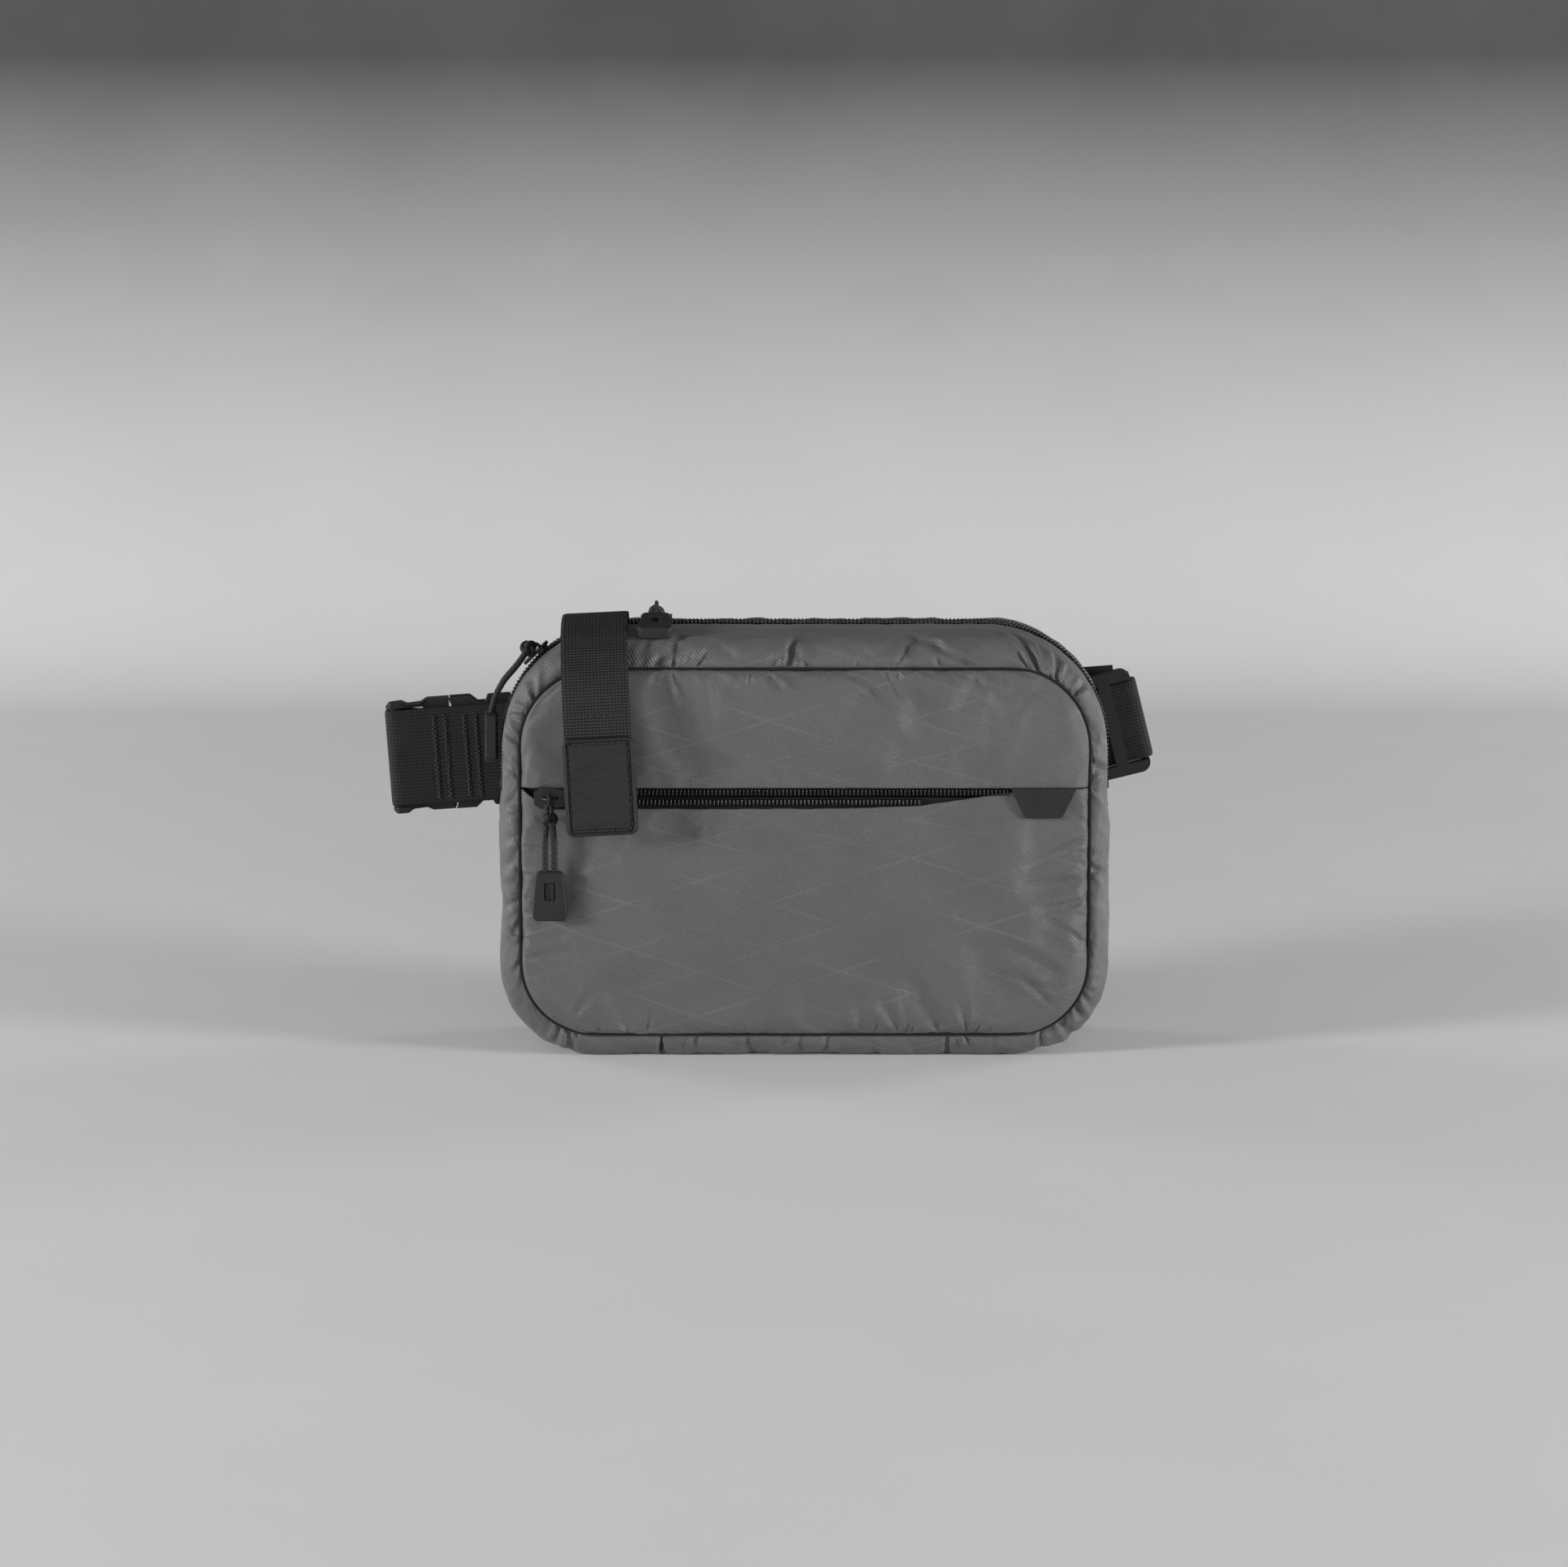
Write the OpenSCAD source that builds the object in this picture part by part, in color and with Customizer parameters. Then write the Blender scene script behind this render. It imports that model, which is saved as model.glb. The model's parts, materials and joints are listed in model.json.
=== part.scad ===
// Hip-worn throw rope bag: a zipped waist pack with a belt, carrying a packed rope sack.
// Millimetres. Seen from the front panel, +X is to the right, +Y goes back and +Z is up.
// The origin lies on the ground under the middle of the main zip.

/* [Pack body] */
// Width across the main zip, the widest section
pack_w = 234; // [220:1:250]
// Height at the main zip
pack_h = 165; // [158:1:175]
// How far the gusset swells past the front seam on each side
front_in = 8.5; // [7:0.5:12]
// Drop from the main zip to the front panel's upper seam
front_drop = 14.5; // [12:0.5:18]
// Height of the front panel's lower seam above the ground
front_lift = 9.5; // [7:0.5:12]
// Depth from the main zip forward to the front seam
front_d = 32; // [28:1:40]
// Depth from the main zip back to the back panel
rear_d = 33; // [28:1:40]
// How far the gusset swells past the back seam on each side
back_in = 3; // [2:0.5:5]
// Drop from the main zip to the back panel's upper seam
back_drop = 8; // [5:0.5:10]
// Upper corner radius at the main zip
top_r = 48; // [42:1:54]
// Lower corner radius at the main zip
bottom_r = 36; // [30:1:42]
// Upper corner radius of the front panel
front_top_r = 30; // [24:1:36]
// Lower corner radius of the front panel
front_bottom_r = 28; // [24:1:34]
// Thickness of the laminated shell fabric
wall = 1.2; // [0.9:0.1:1.6]
// Height of the front panel's crown over its seam
crown = 3.8; // [3:0.1:5]
// Half width of the bottom gusset, where it is sewn to the side gussets
join_x = 55; // [45:1:65]
// Thickness of the foam in the back
pad_t = 5; // [3:0.5:8]

/* [Zips] */
// Width of a closed zip chain
chain_w = 6.2; // [5.6:0.1:6.8]
// Width of a zip tape pair
tape_w = 18; // [16:0.5:18]
// Thickness of the zip tape
tape_t = 0.6; // [0.5:0.1:0.8]
// Height at which the main zip ends on both sides
zip_end_z = 100; // [92:1:106]
// Height of the pocket zip on the front panel
pocket_z = 102; // [98:1:106]
// Length of a slider
slider_len = 12; // [10:0.5:13]
// Distance of the right main slider from the pack's left side
right_slider_in = 60; // [60:0.5:66]
// Angle of the left main slider round the upper left corner, from +X
left_slider_a = 134; // [130:1:137]
// Distance of the pocket slider from the front panel's left seam
pocket_slider_in = 11.5; // [11.5:0.5:15]
// Length of a moulded pull tab
tab_len = 19; // [17:0.5:21]
// Width of a moulded pull tab at its wide end
tab_w = 13.5; // [12:0.5:15]
// Thickness of a moulded pull tab
tab_t = 4.4; // [4:0.2:5]
// Diameter of the pull cord
cord_d = 2.4; // [2:0.1:2.8]

/* [Handle] */
// Width of the grab handle's webbing
handle_w = 25.4; // [22:0.1:28]
// Thickness of the grab handle's webbing
handle_t = 1.8; // [1.4:0.1:2.2]
// Distance of the handle's middle from the pack's left side, where it leaves the mouth
handle_in = 36.8; // [34:0.1:38]
// Sideways lean of the hanging handle
handle_lean = 2.8; // [0:0.1:4]
// Width of the rubber patch on the handle
patch_w = 27.4; // [25:0.1:29]
// Height of the rubber patch
patch_h = 37.7; // [34:0.1:40]
// Thickness of the rubber patch
patch_t = 2.4; // [2:0.1:3]

/* [Belt] */
// Width of the belt webbing
belt_w = 38.1; // [34:0.1:40]
// Width of the right wing's webbing and of the belt end sewn to it
wing_w = 31.8; // [28:0.1:34]
// Thickness of the belt webbing
belt_t = 1.8; // [1.4:0.1:2]
// Slope of the belt and its buckle, higher to the right
belt_slope = 4; // [2:0.5:5]
// Slope of the right wing and its tri-glide
wing_slope = 14; // [10:1:16]
// Height of the belt at the buckle
belt_z = 107; // [104:0.5:110]
// Height of the tri-glide's middle
glide_z = 119; // [116:0.5:122]
// Thickness of the buckle's housing
buckle_t = 10; // [9.5:0.5:12]

/* [Rope] */
// Length of the packed rope coil
hank_w = 176; // [160:1:180]
// Height of the packed rope coil
hank_h = 108; // [96:1:112]
// Depth of the packed rope coil
hank_d = 34; // [28:1:36]

/* [Hidden] */

// Gap left between sewn layers and between pieces that only touch
sew_gap = 0.35;
// Running gap between pieces that move past each other
run_gap = 0.35;
// Half depth of the constant section that carries the main zip
band_half = 9;
// Where the ground face begins in front of the main zip
foot_front = 20;
// Half width of the slit that a zip chain shows in
slit_half = 4.5;
// Gap between the two rows of a closed zip chain
row_gap = 1.2;
// Height of a zip coil over the fabric beside it
coil_proud = 0.8;
// Width of the front panel's rounded rim
rim_w = 6;
// Corner steps of the fabric shells
arc_steps = 7;
// Places of the swell's sample rows, from the front seam to the zip band
roll = [0, 0.06, 0.17, 0.33, 0.58, 1];
// Places of the rear taper's sample rows, from the zip band to the back seam
fall = [0, 0.5, 0.8, 0.95, 1];

fabric_c = "#6f6f70";
webbing_c = "#1c1c1d";
plastic_c = "#232325";
rubber_c = "#3a3a3c";
tape_c = "#2b2b2c";
rope_c = "#d8d2c0";
lining_c = "#8c8c8d";

front_w = pack_w - 2 * front_in;
front_top = pack_h - front_drop;
back_w = pack_w - 2 * back_in;
back_h = pack_h - back_drop;
half_pack = pack_w / 2;
right_slider_x = right_slider_in - half_pack;
pocket_slider_x = pocket_slider_in - front_w / 2;
handle_x = handle_in - half_pack;
corner_x = half_pack - top_r;
corner_z = pack_h - top_r;
tape_in = wall + sew_gap;
tape_floor = tape_in + tape_t;
front_face = front_d + crown + wall;
liner_t = 0.6;
lip_reach = 30;
stop_len = 3.5;
pocket_tape_half = front_w / 2 - rim_w - sew_gap;
tag_w = 25.2;
tag_h = 11.5;
tag_t = 1.7;
tag_taper = 5.7;
tag_under_lip = 0.9;
tag_rise = slit_half - tag_under_lip;
tag_margin = 5;
tag_left = front_w / 2 - tag_margin - tag_w;
mouth_gap = handle_t + 2 * run_gap;
mouth_margin = 1.5;
mouth_left = handle_x - handle_w / 2 - mouth_margin;
mouth_right = right_slider_x - slider_len / 2 - run_gap;

// Sizes of the zip sliders and their pulls, measured out from the fabric's face
plate_t = 1.2;
web_t = row_gap - 2 * run_gap;
wire_d = 1.4;
hitch_d = 1.6;
plate_z = coil_proud + run_gap;
plate_top = plate_z + plate_t;
eye_z = plate_top + 2 * run_gap + hitch_d + wire_d / 2;
under_gap = 0.75;
under_z = -tape_floor - under_gap - plate_t;
knot_d = 6.4;
knot_drop = 7.6;
strand_gap = 3.4;
flange_t = 0.6;
web_len = 4.5;
web_in = 1;
slider_taper = 0.9;
eye_r = 2.6;
strand_bite = 1;
knot_room = 1.2;
neck_cut = 1;
foot_cut = 1.6;
tab_slot_w = 4.4;
tab_slot_h = 6.4;
tab_slot_drop = 4.5;
right_tab_drop = knot_drop + knot_d / 2 + knot_room;
right_pull_lay = 12;
left_eye_r = top_r + eye_z;
left_eye = [left_eye_r * cos(left_slider_a) - corner_x, 0, left_eye_r * sin(left_slider_a) + corner_z];
// Strands of the two hanging pulls, from the knot to inside the tab, measured from the slider's eye
pocket_route = [[1.2, 0.2, -9.8], [1.6, 0.3, -13.8], [1.8, 0.5, -18.4], [1.8, 0.8, -23.2], [1.7, 1, -27.8]];
pocket_end = pocket_route[len(pocket_route) - 1];
left_route = [[-1.5, -8.5, -2.4], [-5, -9.5, -7], [-9.5, -9.5, -12], [-12.8, -9, -18], [-14.5, -8.5, -24.5]];

// Sizes of the handle, in its own Y-Z plane
patch_r = 3;
patch_rim = 1.5;
groove_w = 1.2;
groove_deep = 1.2;
field_deep = 0.6;
rib_count = 6;
rib_w = 0.8;
rib_rise = 0.5;
rib_swing = 0.8;
rib_wave = 8.6;
flap_y = front_face + eye_z + knot_d / 2 + knot_room + handle_t / 2;
patch_under_zip = 12.9;
patch_low = pocket_z - patch_under_zip;
hinge_out = 5.2;
hinge_y = -front_face - hinge_out;
hinge_z = front_top - 1;
strap_end_in = 1;
fold_r = 2.4;
fold_z = pack_h + coil_proud - run_gap;
tail_gap = handle_t / 2 + run_gap;
// Lay of the handle over the front gusset: share of the front depth, and drop from the fold's top
tail_lay = [[0.375, 0.2], [0.69, 1.6], [0.94, 5], [1.14, 10.4]];

// The sack and the rope packed in it
sack_t = 0.8;
sack_side = 8;
sack_r_up = 45;
sack_r_low = 40;
sack_face_in = 17;
sack_face_lift = 11;
sack_face_drop = 14;
sack_face_r_up = 40;
sack_face_r_low = 34;
sack_top = pack_h - 27;
sack_front = front_d - 4;
sack_rear = rear_d - pad_t - sew_gap;
sack_mid = hank_d / 2 + sack_t + 1.5;

// Sizes of the belt, its buckle and its tri-glide, measured back from the back panel
buckle_reach = 29.6;
buckle_x = -back_w / 2 - buckle_reach;
wing_on_back = 18;
sewn_y = rear_d + wall + sew_gap + belt_t / 2;
bar_d = 4;
bar_x = -16.5;
wrap_r = bar_d / 2 + run_gap + belt_t / 2;
wing_sewn = wing_on_back - back_w / 2 - buckle_x;
wing_tail = 16;
wing_settle = 14;
cheek_gap = 0.5;
cheek_t = 2.5;
waist_t = 1.1;
lug = 3.4;
lug_low = 3.2;
lug_high = 2.4;
lug_cut = 2;
edge_cut = 1.3;
base_x = -5.5;
base_len = 10;
base_step = 0.6;
buckle_y = sewn_y + 1.5 * belt_t + sew_gap + 2 * run_gap + buckle_t / 2;
housing_wall = 2.35;
prong_t = buckle_t - 2 * (housing_wall + run_gap);
prong_root_r = 2.2;
prong_x = base_x + base_len + prong_root_r + run_gap;
prong_z = 13.5;
prong_len = 25;
prong_nose = 5;
button_x = 13;
button_len = 9;
button_ramp = 2.5;
tongue_w = 9;
tongue_len = 20;
housing_x = base_x + base_len + run_gap;
housing_len = 30;
housing_half = belt_w / 2 + cheek_gap + cheek_t;
ear_bite = 4;
ear_len = 12;
female_bar_out = 6;
side_recess = 2.6;
recess_from = 8;
recess_to = 27;
recess_ramp = 3;
mouth_dip = 4;
housing_cut = 1;
female_bar_x = housing_x + housing_len + female_bar_out;
tail_y = buckle_y - wrap_r + belt_t + sew_gap;
tail_len = 70;
tail_sewn = 34;
tail_settle = 16;
release_travel = 30;
loop_len = 18;
strap_sewn = 36;
strap_ease = 24;
strap_y = tail_y + belt_t + sew_gap;
glide_reach = 7.7;
glide_x = back_w / 2 + glide_reach;
glide_len = 22;
glide_rise = 3.5;
glide_rail = 4.4;
glide_r = 4;
glide_front = 3.4;
glide_back = 2.2;
glide_flat_w = 4.8;
glide_flat_t = 2.2;
glide_bar_d = 3.2;
glide_bar_x = glide_len / 2 - glide_bar_d / 2;
glide_y = sewn_y + glide_rise;
wing_root = 47.5;
wing_rise = 38;
wing_level = 31;
wing_return = 22;
glide_wrap = glide_bar_d / 2 + run_gap + belt_t / 2;
return_y = glide_y + 2 * glide_wrap;

function lerp(a, b, s) = a + (b - a) * s;
function bulge(s) = sqrt(max(0, 1 - pow(1 - s, 2)));
function smooth(s) = let (c = min(1, max(0, s))) c * c * (3 - 2 * c);
function swell(y) = y < -band_half ? bulge((y + front_d) / (front_d - band_half)) : 1;
function taper(y) = y > band_half ? 1 - bulge(1 - (y - band_half) / (rear_d - band_half)) : 0;
function slope(y) = max(0, y - band_half) / (rear_d - band_half);
function half_w(y) = lerp(front_w, pack_w, swell(y)) / 2 - (pack_w - back_w) / 2 * taper(y);
function top_z(y) = lerp(front_top, pack_h, swell(y)) - (pack_h - back_h) * slope(y);
function low_z(y) = y < -foot_front
    ? front_lift * (1 - bulge((y + front_d) / (front_d - foot_front)))
    : 0;
function r_top(y) = lerp(front_top_r, top_r, swell(y));
function r_low(y) = lerp(front_bottom_r, bottom_r, swell(y));

// Point on the shell's section at depth y, o inside its outer face. The station u runs from the
// left end of the bottom gusset (0) round the lower corner (1 to 2), up the side past the zip's
// end (3), round the upper corner (4 to 5) to the top's middle (6), and back down to 12.
function shell_left(u, y, o) =
    let (seg = min(5, floor(u)), s = u - seg)
    let (hw = half_w(y) - o, tz = top_z(y) - o, lz = low_z(y) + o)
    let (rt = r_top(y) - o, rb = r_low(y) - o)
    seg == 0 ? [lerp(-join_x, rb - hw, s), y, lz] :
    seg == 1 ? [rb - hw + rb * cos(270 - 90 * s), y, lz + rb + rb * sin(270 - 90 * s)] :
    seg == 2 ? [-hw, y, lerp(lz + rb, zip_end_z, s)] :
    seg == 3 ? [-hw, y, lerp(zip_end_z, tz - rt, s)] :
    seg == 4 ? [rt - hw + rt * cos(180 - 90 * s), y, tz - rt + rt * sin(180 - 90 * s)] :
    [lerp(rt - hw, 0, s), y, tz];
function flip_x(p) = [-p[0], p[1], p[2]];
function shell_point(u, y, o) = u <= 6 ? shell_left(u, y, o) : flip_x(shell_left(12 - u, y, o));

lower_left = concat([0, 0.5], [for (i = [0:arc_steps]) 1 + i / arc_steps], [2.5, 3]);
upper_left = concat([3, 3.5], [for (i = [0:arc_steps]) 4 + i / arc_steps], [5.35, 5.7]);
upper_arch = concat(upper_left, [6], [for (i = [len(upper_left) - 1:-1:0]) 12 - upper_left[i]]);
swell_rows = [for (s = roll) lerp(-front_d, -band_half, s)];
rear_rows = [for (s = fall) lerp(band_half, rear_d, s)];
side_rows = concat(swell_rows, rear_rows);

// Closed slab between two grids of points that face each other
module slab(outer, inner) {
    rows = len(outer);
    cols = len(outer[0]);
    back = rows * cols;
    function at(i, j) = i * cols + j;
    end_row = rows - 1;
    end_col = cols - 1;
    function quad(a, b, c, d) = [[a, b, c], [a, c, d]];
    faces = concat(
        [for (i = [0:rows - 2], j = [0:cols - 2])
            each quad(at(i, j), at(i, j + 1), at(i + 1, j + 1), at(i + 1, j))],
        [for (i = [0:rows - 2], j = [0:cols - 2])
            each quad(back + at(i, j), back + at(i + 1, j), back + at(i + 1, j + 1), back + at(i, j + 1))],
        [for (j = [0:cols - 2])
            each quad(at(0, j + 1), at(0, j), back + at(0, j), back + at(0, j + 1))],
        [for (j = [0:cols - 2])
            each quad(at(end_row, j), at(end_row, j + 1), back + at(end_row, j + 1), back + at(end_row, j))],
        [for (i = [0:rows - 2])
            each quad(at(i, 0), at(i + 1, 0), back + at(i + 1, 0), back + at(i, 0))],
        [for (i = [0:rows - 2])
            each quad(at(i + 1, end_col), at(i, end_col), back + at(i, end_col), back + at(i + 1, end_col))]);
    polyhedron([for (r = outer) each r, for (r = inner) each r], faces);
}

// Band of the shell between two depths, over a run of stations
module shell_band(stations, depths)
    slab(
        [for (u = stations) [for (y = depths) shell_point(u, y, 0)]],
        [for (u = stations) [for (y = depths) shell_point(u, y, wall)]]);

// Extrusion of an X-Z outline from depth y0 to depth y1
module along_y(y0, y1)
    translate([0, y1, 0])
        rotate([90, 0, 0])
            linear_extrude(y1 - y0)
                children();

module top_gusset_front()
    color(fabric_c)
        shell_band(upper_arch, concat(swell_rows, [-slit_half]));

module top_gusset_rear()
    color(fabric_c)
        shell_band(upper_arch, concat([slit_half], rear_rows));

module side_gusset_left()
    color(fabric_c)
        shell_band(lower_left, side_rows);

module side_gusset_right()
    color(fabric_c)
        mirror([1, 0, 0])
            shell_band(lower_left, side_rows);

module bottom_gusset() {
    profile = concat(
        [for (y = side_rows) [y, low_z(y)]],
        [for (i = [len(side_rows) - 1:-1:0]) [side_rows[i], low_z(side_rows[i]) + wall]]);
    color(fabric_c)
        translate([-join_x, 0, 0])
            rotate([90, 0, 90])
                linear_extrude(2 * join_x)
                    polygon(profile);
}

// Rounded rectangle in X-Z with its own upper and lower corner radii, o inside its edge
module rounded_panel(w, low, high, r_up, r_down, o, fine = 96) {
    side = w / 2;
    translate([o - side, low + r_down])
        square([w - 2 * o, high - r_up - low - r_down]);
    translate([r_up - side, high - r_up])
        square([w - 2 * r_up, r_up - o]);
    translate([r_down - side, low + o])
        square([w - 2 * r_down, r_down - o]);
    for (m = [-1, 1]) {
        translate([m * (side - r_up), high - r_up])
            circle(r_up - o, $fn = fine);
        translate([m * (side - r_down), low + r_down])
            circle(r_down - o, $fn = fine);
    }
}

module back_panel()
    color(fabric_c)
        along_y(rear_d, rear_d + wall)
            rounded_panel(back_w, 0, back_h, r_top(rear_d), r_low(rear_d), 0);

module back_pad()
    color(lining_c)
        along_y(rear_d - pad_t, rear_d)
            rounded_panel(back_w, 0, back_h, r_top(rear_d), r_low(rear_d), wall + 2 * sew_gap);

module pocket_liner()
    color(lining_c)
        along_y(-front_d, liner_t - front_d)
            rounded_panel(front_w, front_lift, front_top, front_top_r, front_bottom_r, wall + sew_gap);

// Half width of the front panel at height z
function front_half(z) =
    let (down = front_lift + front_bottom_r - z, up = z - front_top + front_top_r)
    front_w / 2
        - (down > 0 ? front_bottom_r - sqrt(max(0, pow(front_bottom_r, 2) - down * down)) : 0)
        - (up > 0 ? front_top_r - sqrt(max(0, pow(front_top_r, 2) - up * up)) : 0);

// Distance from a point of the front panel to its seam
function seam_dist(x, z) =
    let (down = front_lift + front_bottom_r, up = front_top - front_top_r)
    let (dx = abs(x) - front_w / 2)
    z < down && dx > -front_bottom_r ? front_bottom_r - norm([dx + front_bottom_r, z - down]) :
    z > up && dx > -front_top_r ? front_top_r - norm([dx + front_top_r, z - up]) :
    min(-dx, z - front_lift, front_top - z);

function crown_y(x, z) = -front_d - crown * smooth(seam_dist(x, z) / rim_w);
function lip(x) = slit_half * smooth((front_w / 2 - abs(x)) / rim_w);

// One half of the front panel: rows of heights, with the row at the zip drawn back to the slit's lip
module front_half_panel(heights, side) {
    inset = [0, 0.25, 0.5, 0.75, 1, 2, 5];
    function columns(z) = let (h = front_half(z))
        concat([for (i = inset) i * rim_w - h], [0], [for (i = [len(inset) - 1:-1:0]) h - inset[i] * rim_w]);
    function pull_back(z) = smooth(1 - abs(z - pocket_z) / lip_reach);
    function point(x, z, t) = [x, crown_y(x, z) - t, z + side * lip(x) * pull_back(z)];
    slab(
        [for (z = heights) [for (x = columns(z)) point(x, z, wall)]],
        [for (z = heights) [for (x = columns(z)) point(x, z, 0)]]);
}

corner_cut = [for (i = [0:5]) 1 - cos(18 * i)];
lower_heights = concat(
    [for (c = corner_cut) front_lift + front_bottom_r * c],
    [for (d = [45, 30, 20, 10, 0]) pocket_z - d]);
upper_heights = concat([pocket_z], [for (i = [5:-1:0]) front_top - front_top_r * corner_cut[i]]);

module front_panel_lower()
    color(fabric_c)
        front_half_panel(lower_heights, -1);

module front_panel_upper()
    color(fabric_c)
        front_half_panel(upper_heights, 1);

// Area under the main zip's arch, o inside the outer face, from height z0 up
module zip_arch(o, z0)
    difference() {
        rounded_panel(pack_w, 0, pack_h, top_r, bottom_r, o);
        translate([-pack_w, -pack_h])
            square([2 * pack_w, pack_h + z0]);
    }

module zip_ring(o_out, o_in, z0)
    difference() {
        zip_arch(o_out, z0);
        zip_arch(o_in, z0 - 1);
    }

// The open stretch between the two main sliders, where the handle comes out
module mouth_zone()
    translate([mouth_left, corner_z])
        square([mouth_right - mouth_left, top_r * 2]);

// Part 0 of a zip ring is closed, part 1 is the open mouth
module zip_part(part, o_out, o_in, z0)
    if (part == 0)
        difference() {
            zip_ring(o_out, o_in, z0);
            mouth_zone();
        }
    else
        intersection() {
            zip_ring(o_out, o_in, z0);
            mouth_zone();
        }

module main_zip_tape(face) {
    inner = row_gap / 2;
    for (part = [0, 1]) {
        start = part == 0 ? inner : mouth_gap / 2;
        y0 = face < 0 ? -tape_w / 2 : start;
        y1 = face < 0 ? -start : tape_w / 2;
        along_y(y0, y1)
            zip_part(part, tape_in, tape_floor, zip_end_z);
    }
}

module main_zip_coil(face)
    for (part = [0, 1]) {
        start = part == 0 ? row_gap / 2 : mouth_gap / 2;
        row = (chain_w - row_gap) / 2;
        y0 = face < 0 ? -start - row : start;
        along_y(y0, y0 + row)
            zip_part(part, -coil_proud, tape_in, zip_end_z + stop_len + run_gap);
    }

module main_zip_tape_front()
    color(tape_c)
        main_zip_tape(-1);

module main_zip_tape_rear()
    color(tape_c)
        main_zip_tape(1);

module main_zip_coil_front()
    color(plastic_c)
        main_zip_coil(-1);

module main_zip_coil_rear()
    color(plastic_c)
        main_zip_coil(1);

module main_zip_stops()
    color(plastic_c)
        for (m = [0, 1])
            mirror([m, 0, 0])
                translate([-half_pack - coil_proud, -chain_w / 2, zip_end_z])
                    cube([tape_in + coil_proud, chain_w, stop_len]);

module pocket_zip_tape()
    color(tape_c)
        for (m = [-1, 1])
            translate([
                -pocket_tape_half, tape_in - front_face,
                pocket_z + (m < 0 ? -tape_w / 2 : row_gap / 2)])
                cube([2 * pocket_tape_half, tape_t, (tape_w - row_gap) / 2]);

module pocket_zip_coil() {
    row = (chain_w - row_gap) / 2;
    color(plastic_c)
        for (m = [-1, 1])
            translate([
                -pocket_tape_half, -front_face - coil_proud,
                pocket_z + (m < 0 ? -chain_w / 2 : row_gap / 2)])
                cube([pocket_tape_half + tag_left - sew_gap, tape_in + coil_proud, row]);
}

// Rubber end tag of the pocket zip: a trapezoid, narrow at the bottom, with its face left bare
module zip_tag()
    color(rubber_c)
        along_y(-front_face - tag_t, -front_face)
            polygon([
                [tag_left, pocket_z + tag_rise],
                [tag_left + tag_w, pocket_z + tag_rise],
                [tag_left + tag_w - tag_taper, pocket_z + tag_rise - tag_h],
                [tag_left + tag_taper, pocket_z + tag_rise - tag_h]]);

// Slider in its own frame: X is its travel, with the mouth at +X, and Z points out of the fabric
module slider() {
    half = slider_len / 2;
    wide = chain_w / 2 + run_gap + flange_t;
    narrow = wide - slider_taper;
    nose = half * 0.6;
    shoulder = nose * 0.2;
    tip = narrow * 0.7;
    for (level = [plate_z, under_z])
        translate([0, 0, level])
            linear_extrude(plate_t)
                polygon([
                    [-half, -narrow], [shoulder, -wide], [nose, -wide], [half, -tip],
                    [half, tip], [nose, wide], [shoulder, wide], [-half, narrow]]);
    for (m = [-1, 1])
        translate([shoulder, m > 0 ? wide - flange_t : -wide, sew_gap])
            cube([nose - shoulder, flange_t, plate_z - sew_gap]);
    translate([half - web_len - web_in, -web_t / 2, under_z])
        cube([web_len, web_t, plate_top - under_z]);
    for (m = [-1, 1])
        translate([m * eye_r, 0, plate_top])
            cylinder(d = wire_d, h = eye_z - eye_r - plate_top, $fn = 24);
    translate([0, 0, eye_z - eye_r])
        rotate([90, 0, 0])
            rotate_extrude(angle = 180, $fn = 48)
                translate([eye_r, 0])
                    circle(d = wire_d, $fn = 24);
}

// Cord knot with its hitch round the slider's eye. The eye's middle is the origin, -Z is down the cord.
module knot() {
    rotate([0, 90, 0])
        rotate_extrude($fn = 48)
            translate([wire_d / 2 + run_gap + hitch_d / 2, 0])
                circle(d = hitch_d, $fn = 24);
    translate([0, 0, -knot_drop])
        cylinder(d = cord_d, h = knot_drop - wire_d / 2 - run_gap - hitch_d / 2, $fn = 24);
    translate([0, 0, -knot_drop])
        sphere(d = knot_d, $fn = 48);
}

// Moulded tab with tapered sides and a slot that shows the cord's end, hanging down from the origin
module tab() {
    top = tab_w * 0.76;
    foot = tab_w / 2;
    difference() {
        translate([0, tab_t / 2, 0])
            rotate([90, 0, 0])
                linear_extrude(tab_t)
                    polygon([
                        [neck_cut - top / 2, 0], [top / 2 - neck_cut, 0], [top / 2, -neck_cut],
                        [foot, foot_cut - tab_len], [foot - foot_cut, -tab_len],
                        [foot_cut - foot, -tab_len], [-foot, foot_cut - tab_len], [-top / 2, -neck_cut]]);
        translate([-tab_slot_w / 2, -tab_t, -tab_slot_drop - tab_slot_h])
            cube([tab_slot_w, 2 * tab_t, tab_slot_h]);
    }
}

// Tube with square-on rings along a path that never runs along Y
module tube(path, d, sides) {
    last = len(path) - 1;
    function aim(i) = let (v = path[min(last, i + 1)] - path[max(0, i - 1)]) v / norm(v);
    function ring(i) =
        let (t = aim(i), e = cross(t, [0, 1, 0]), a = e / norm(e), b = cross(t, a))
        [for (k = [0:sides - 1]) path[i] + d / 2 * (a * cos(360 * k / sides) + b * sin(360 * k / sides))];
    points = [for (i = [0:last]) each ring(i)];
    sleeve = [for (i = [0:last - 1], k = [0:sides - 1])
        let (n = (k + 1) % sides, p = i * sides, q = p + sides)
        each [[p + k, q + k, q + n], [p + k, q + n, p + n]]];
    polyhedron(points, concat(
        sleeve,
        [[for (k = [0:sides - 1]) k]],
        [[for (k = [sides - 1:-1:0]) last * sides + k]]));
}

module at_pocket_eye()
    translate([pocket_slider_x, -front_face - eye_z, pocket_z])
        children();

module at_right_eye()
    translate([right_slider_x, 0, pack_h + eye_z])
        rotate([right_pull_lay - 90, 0, 0])
            children();

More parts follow.
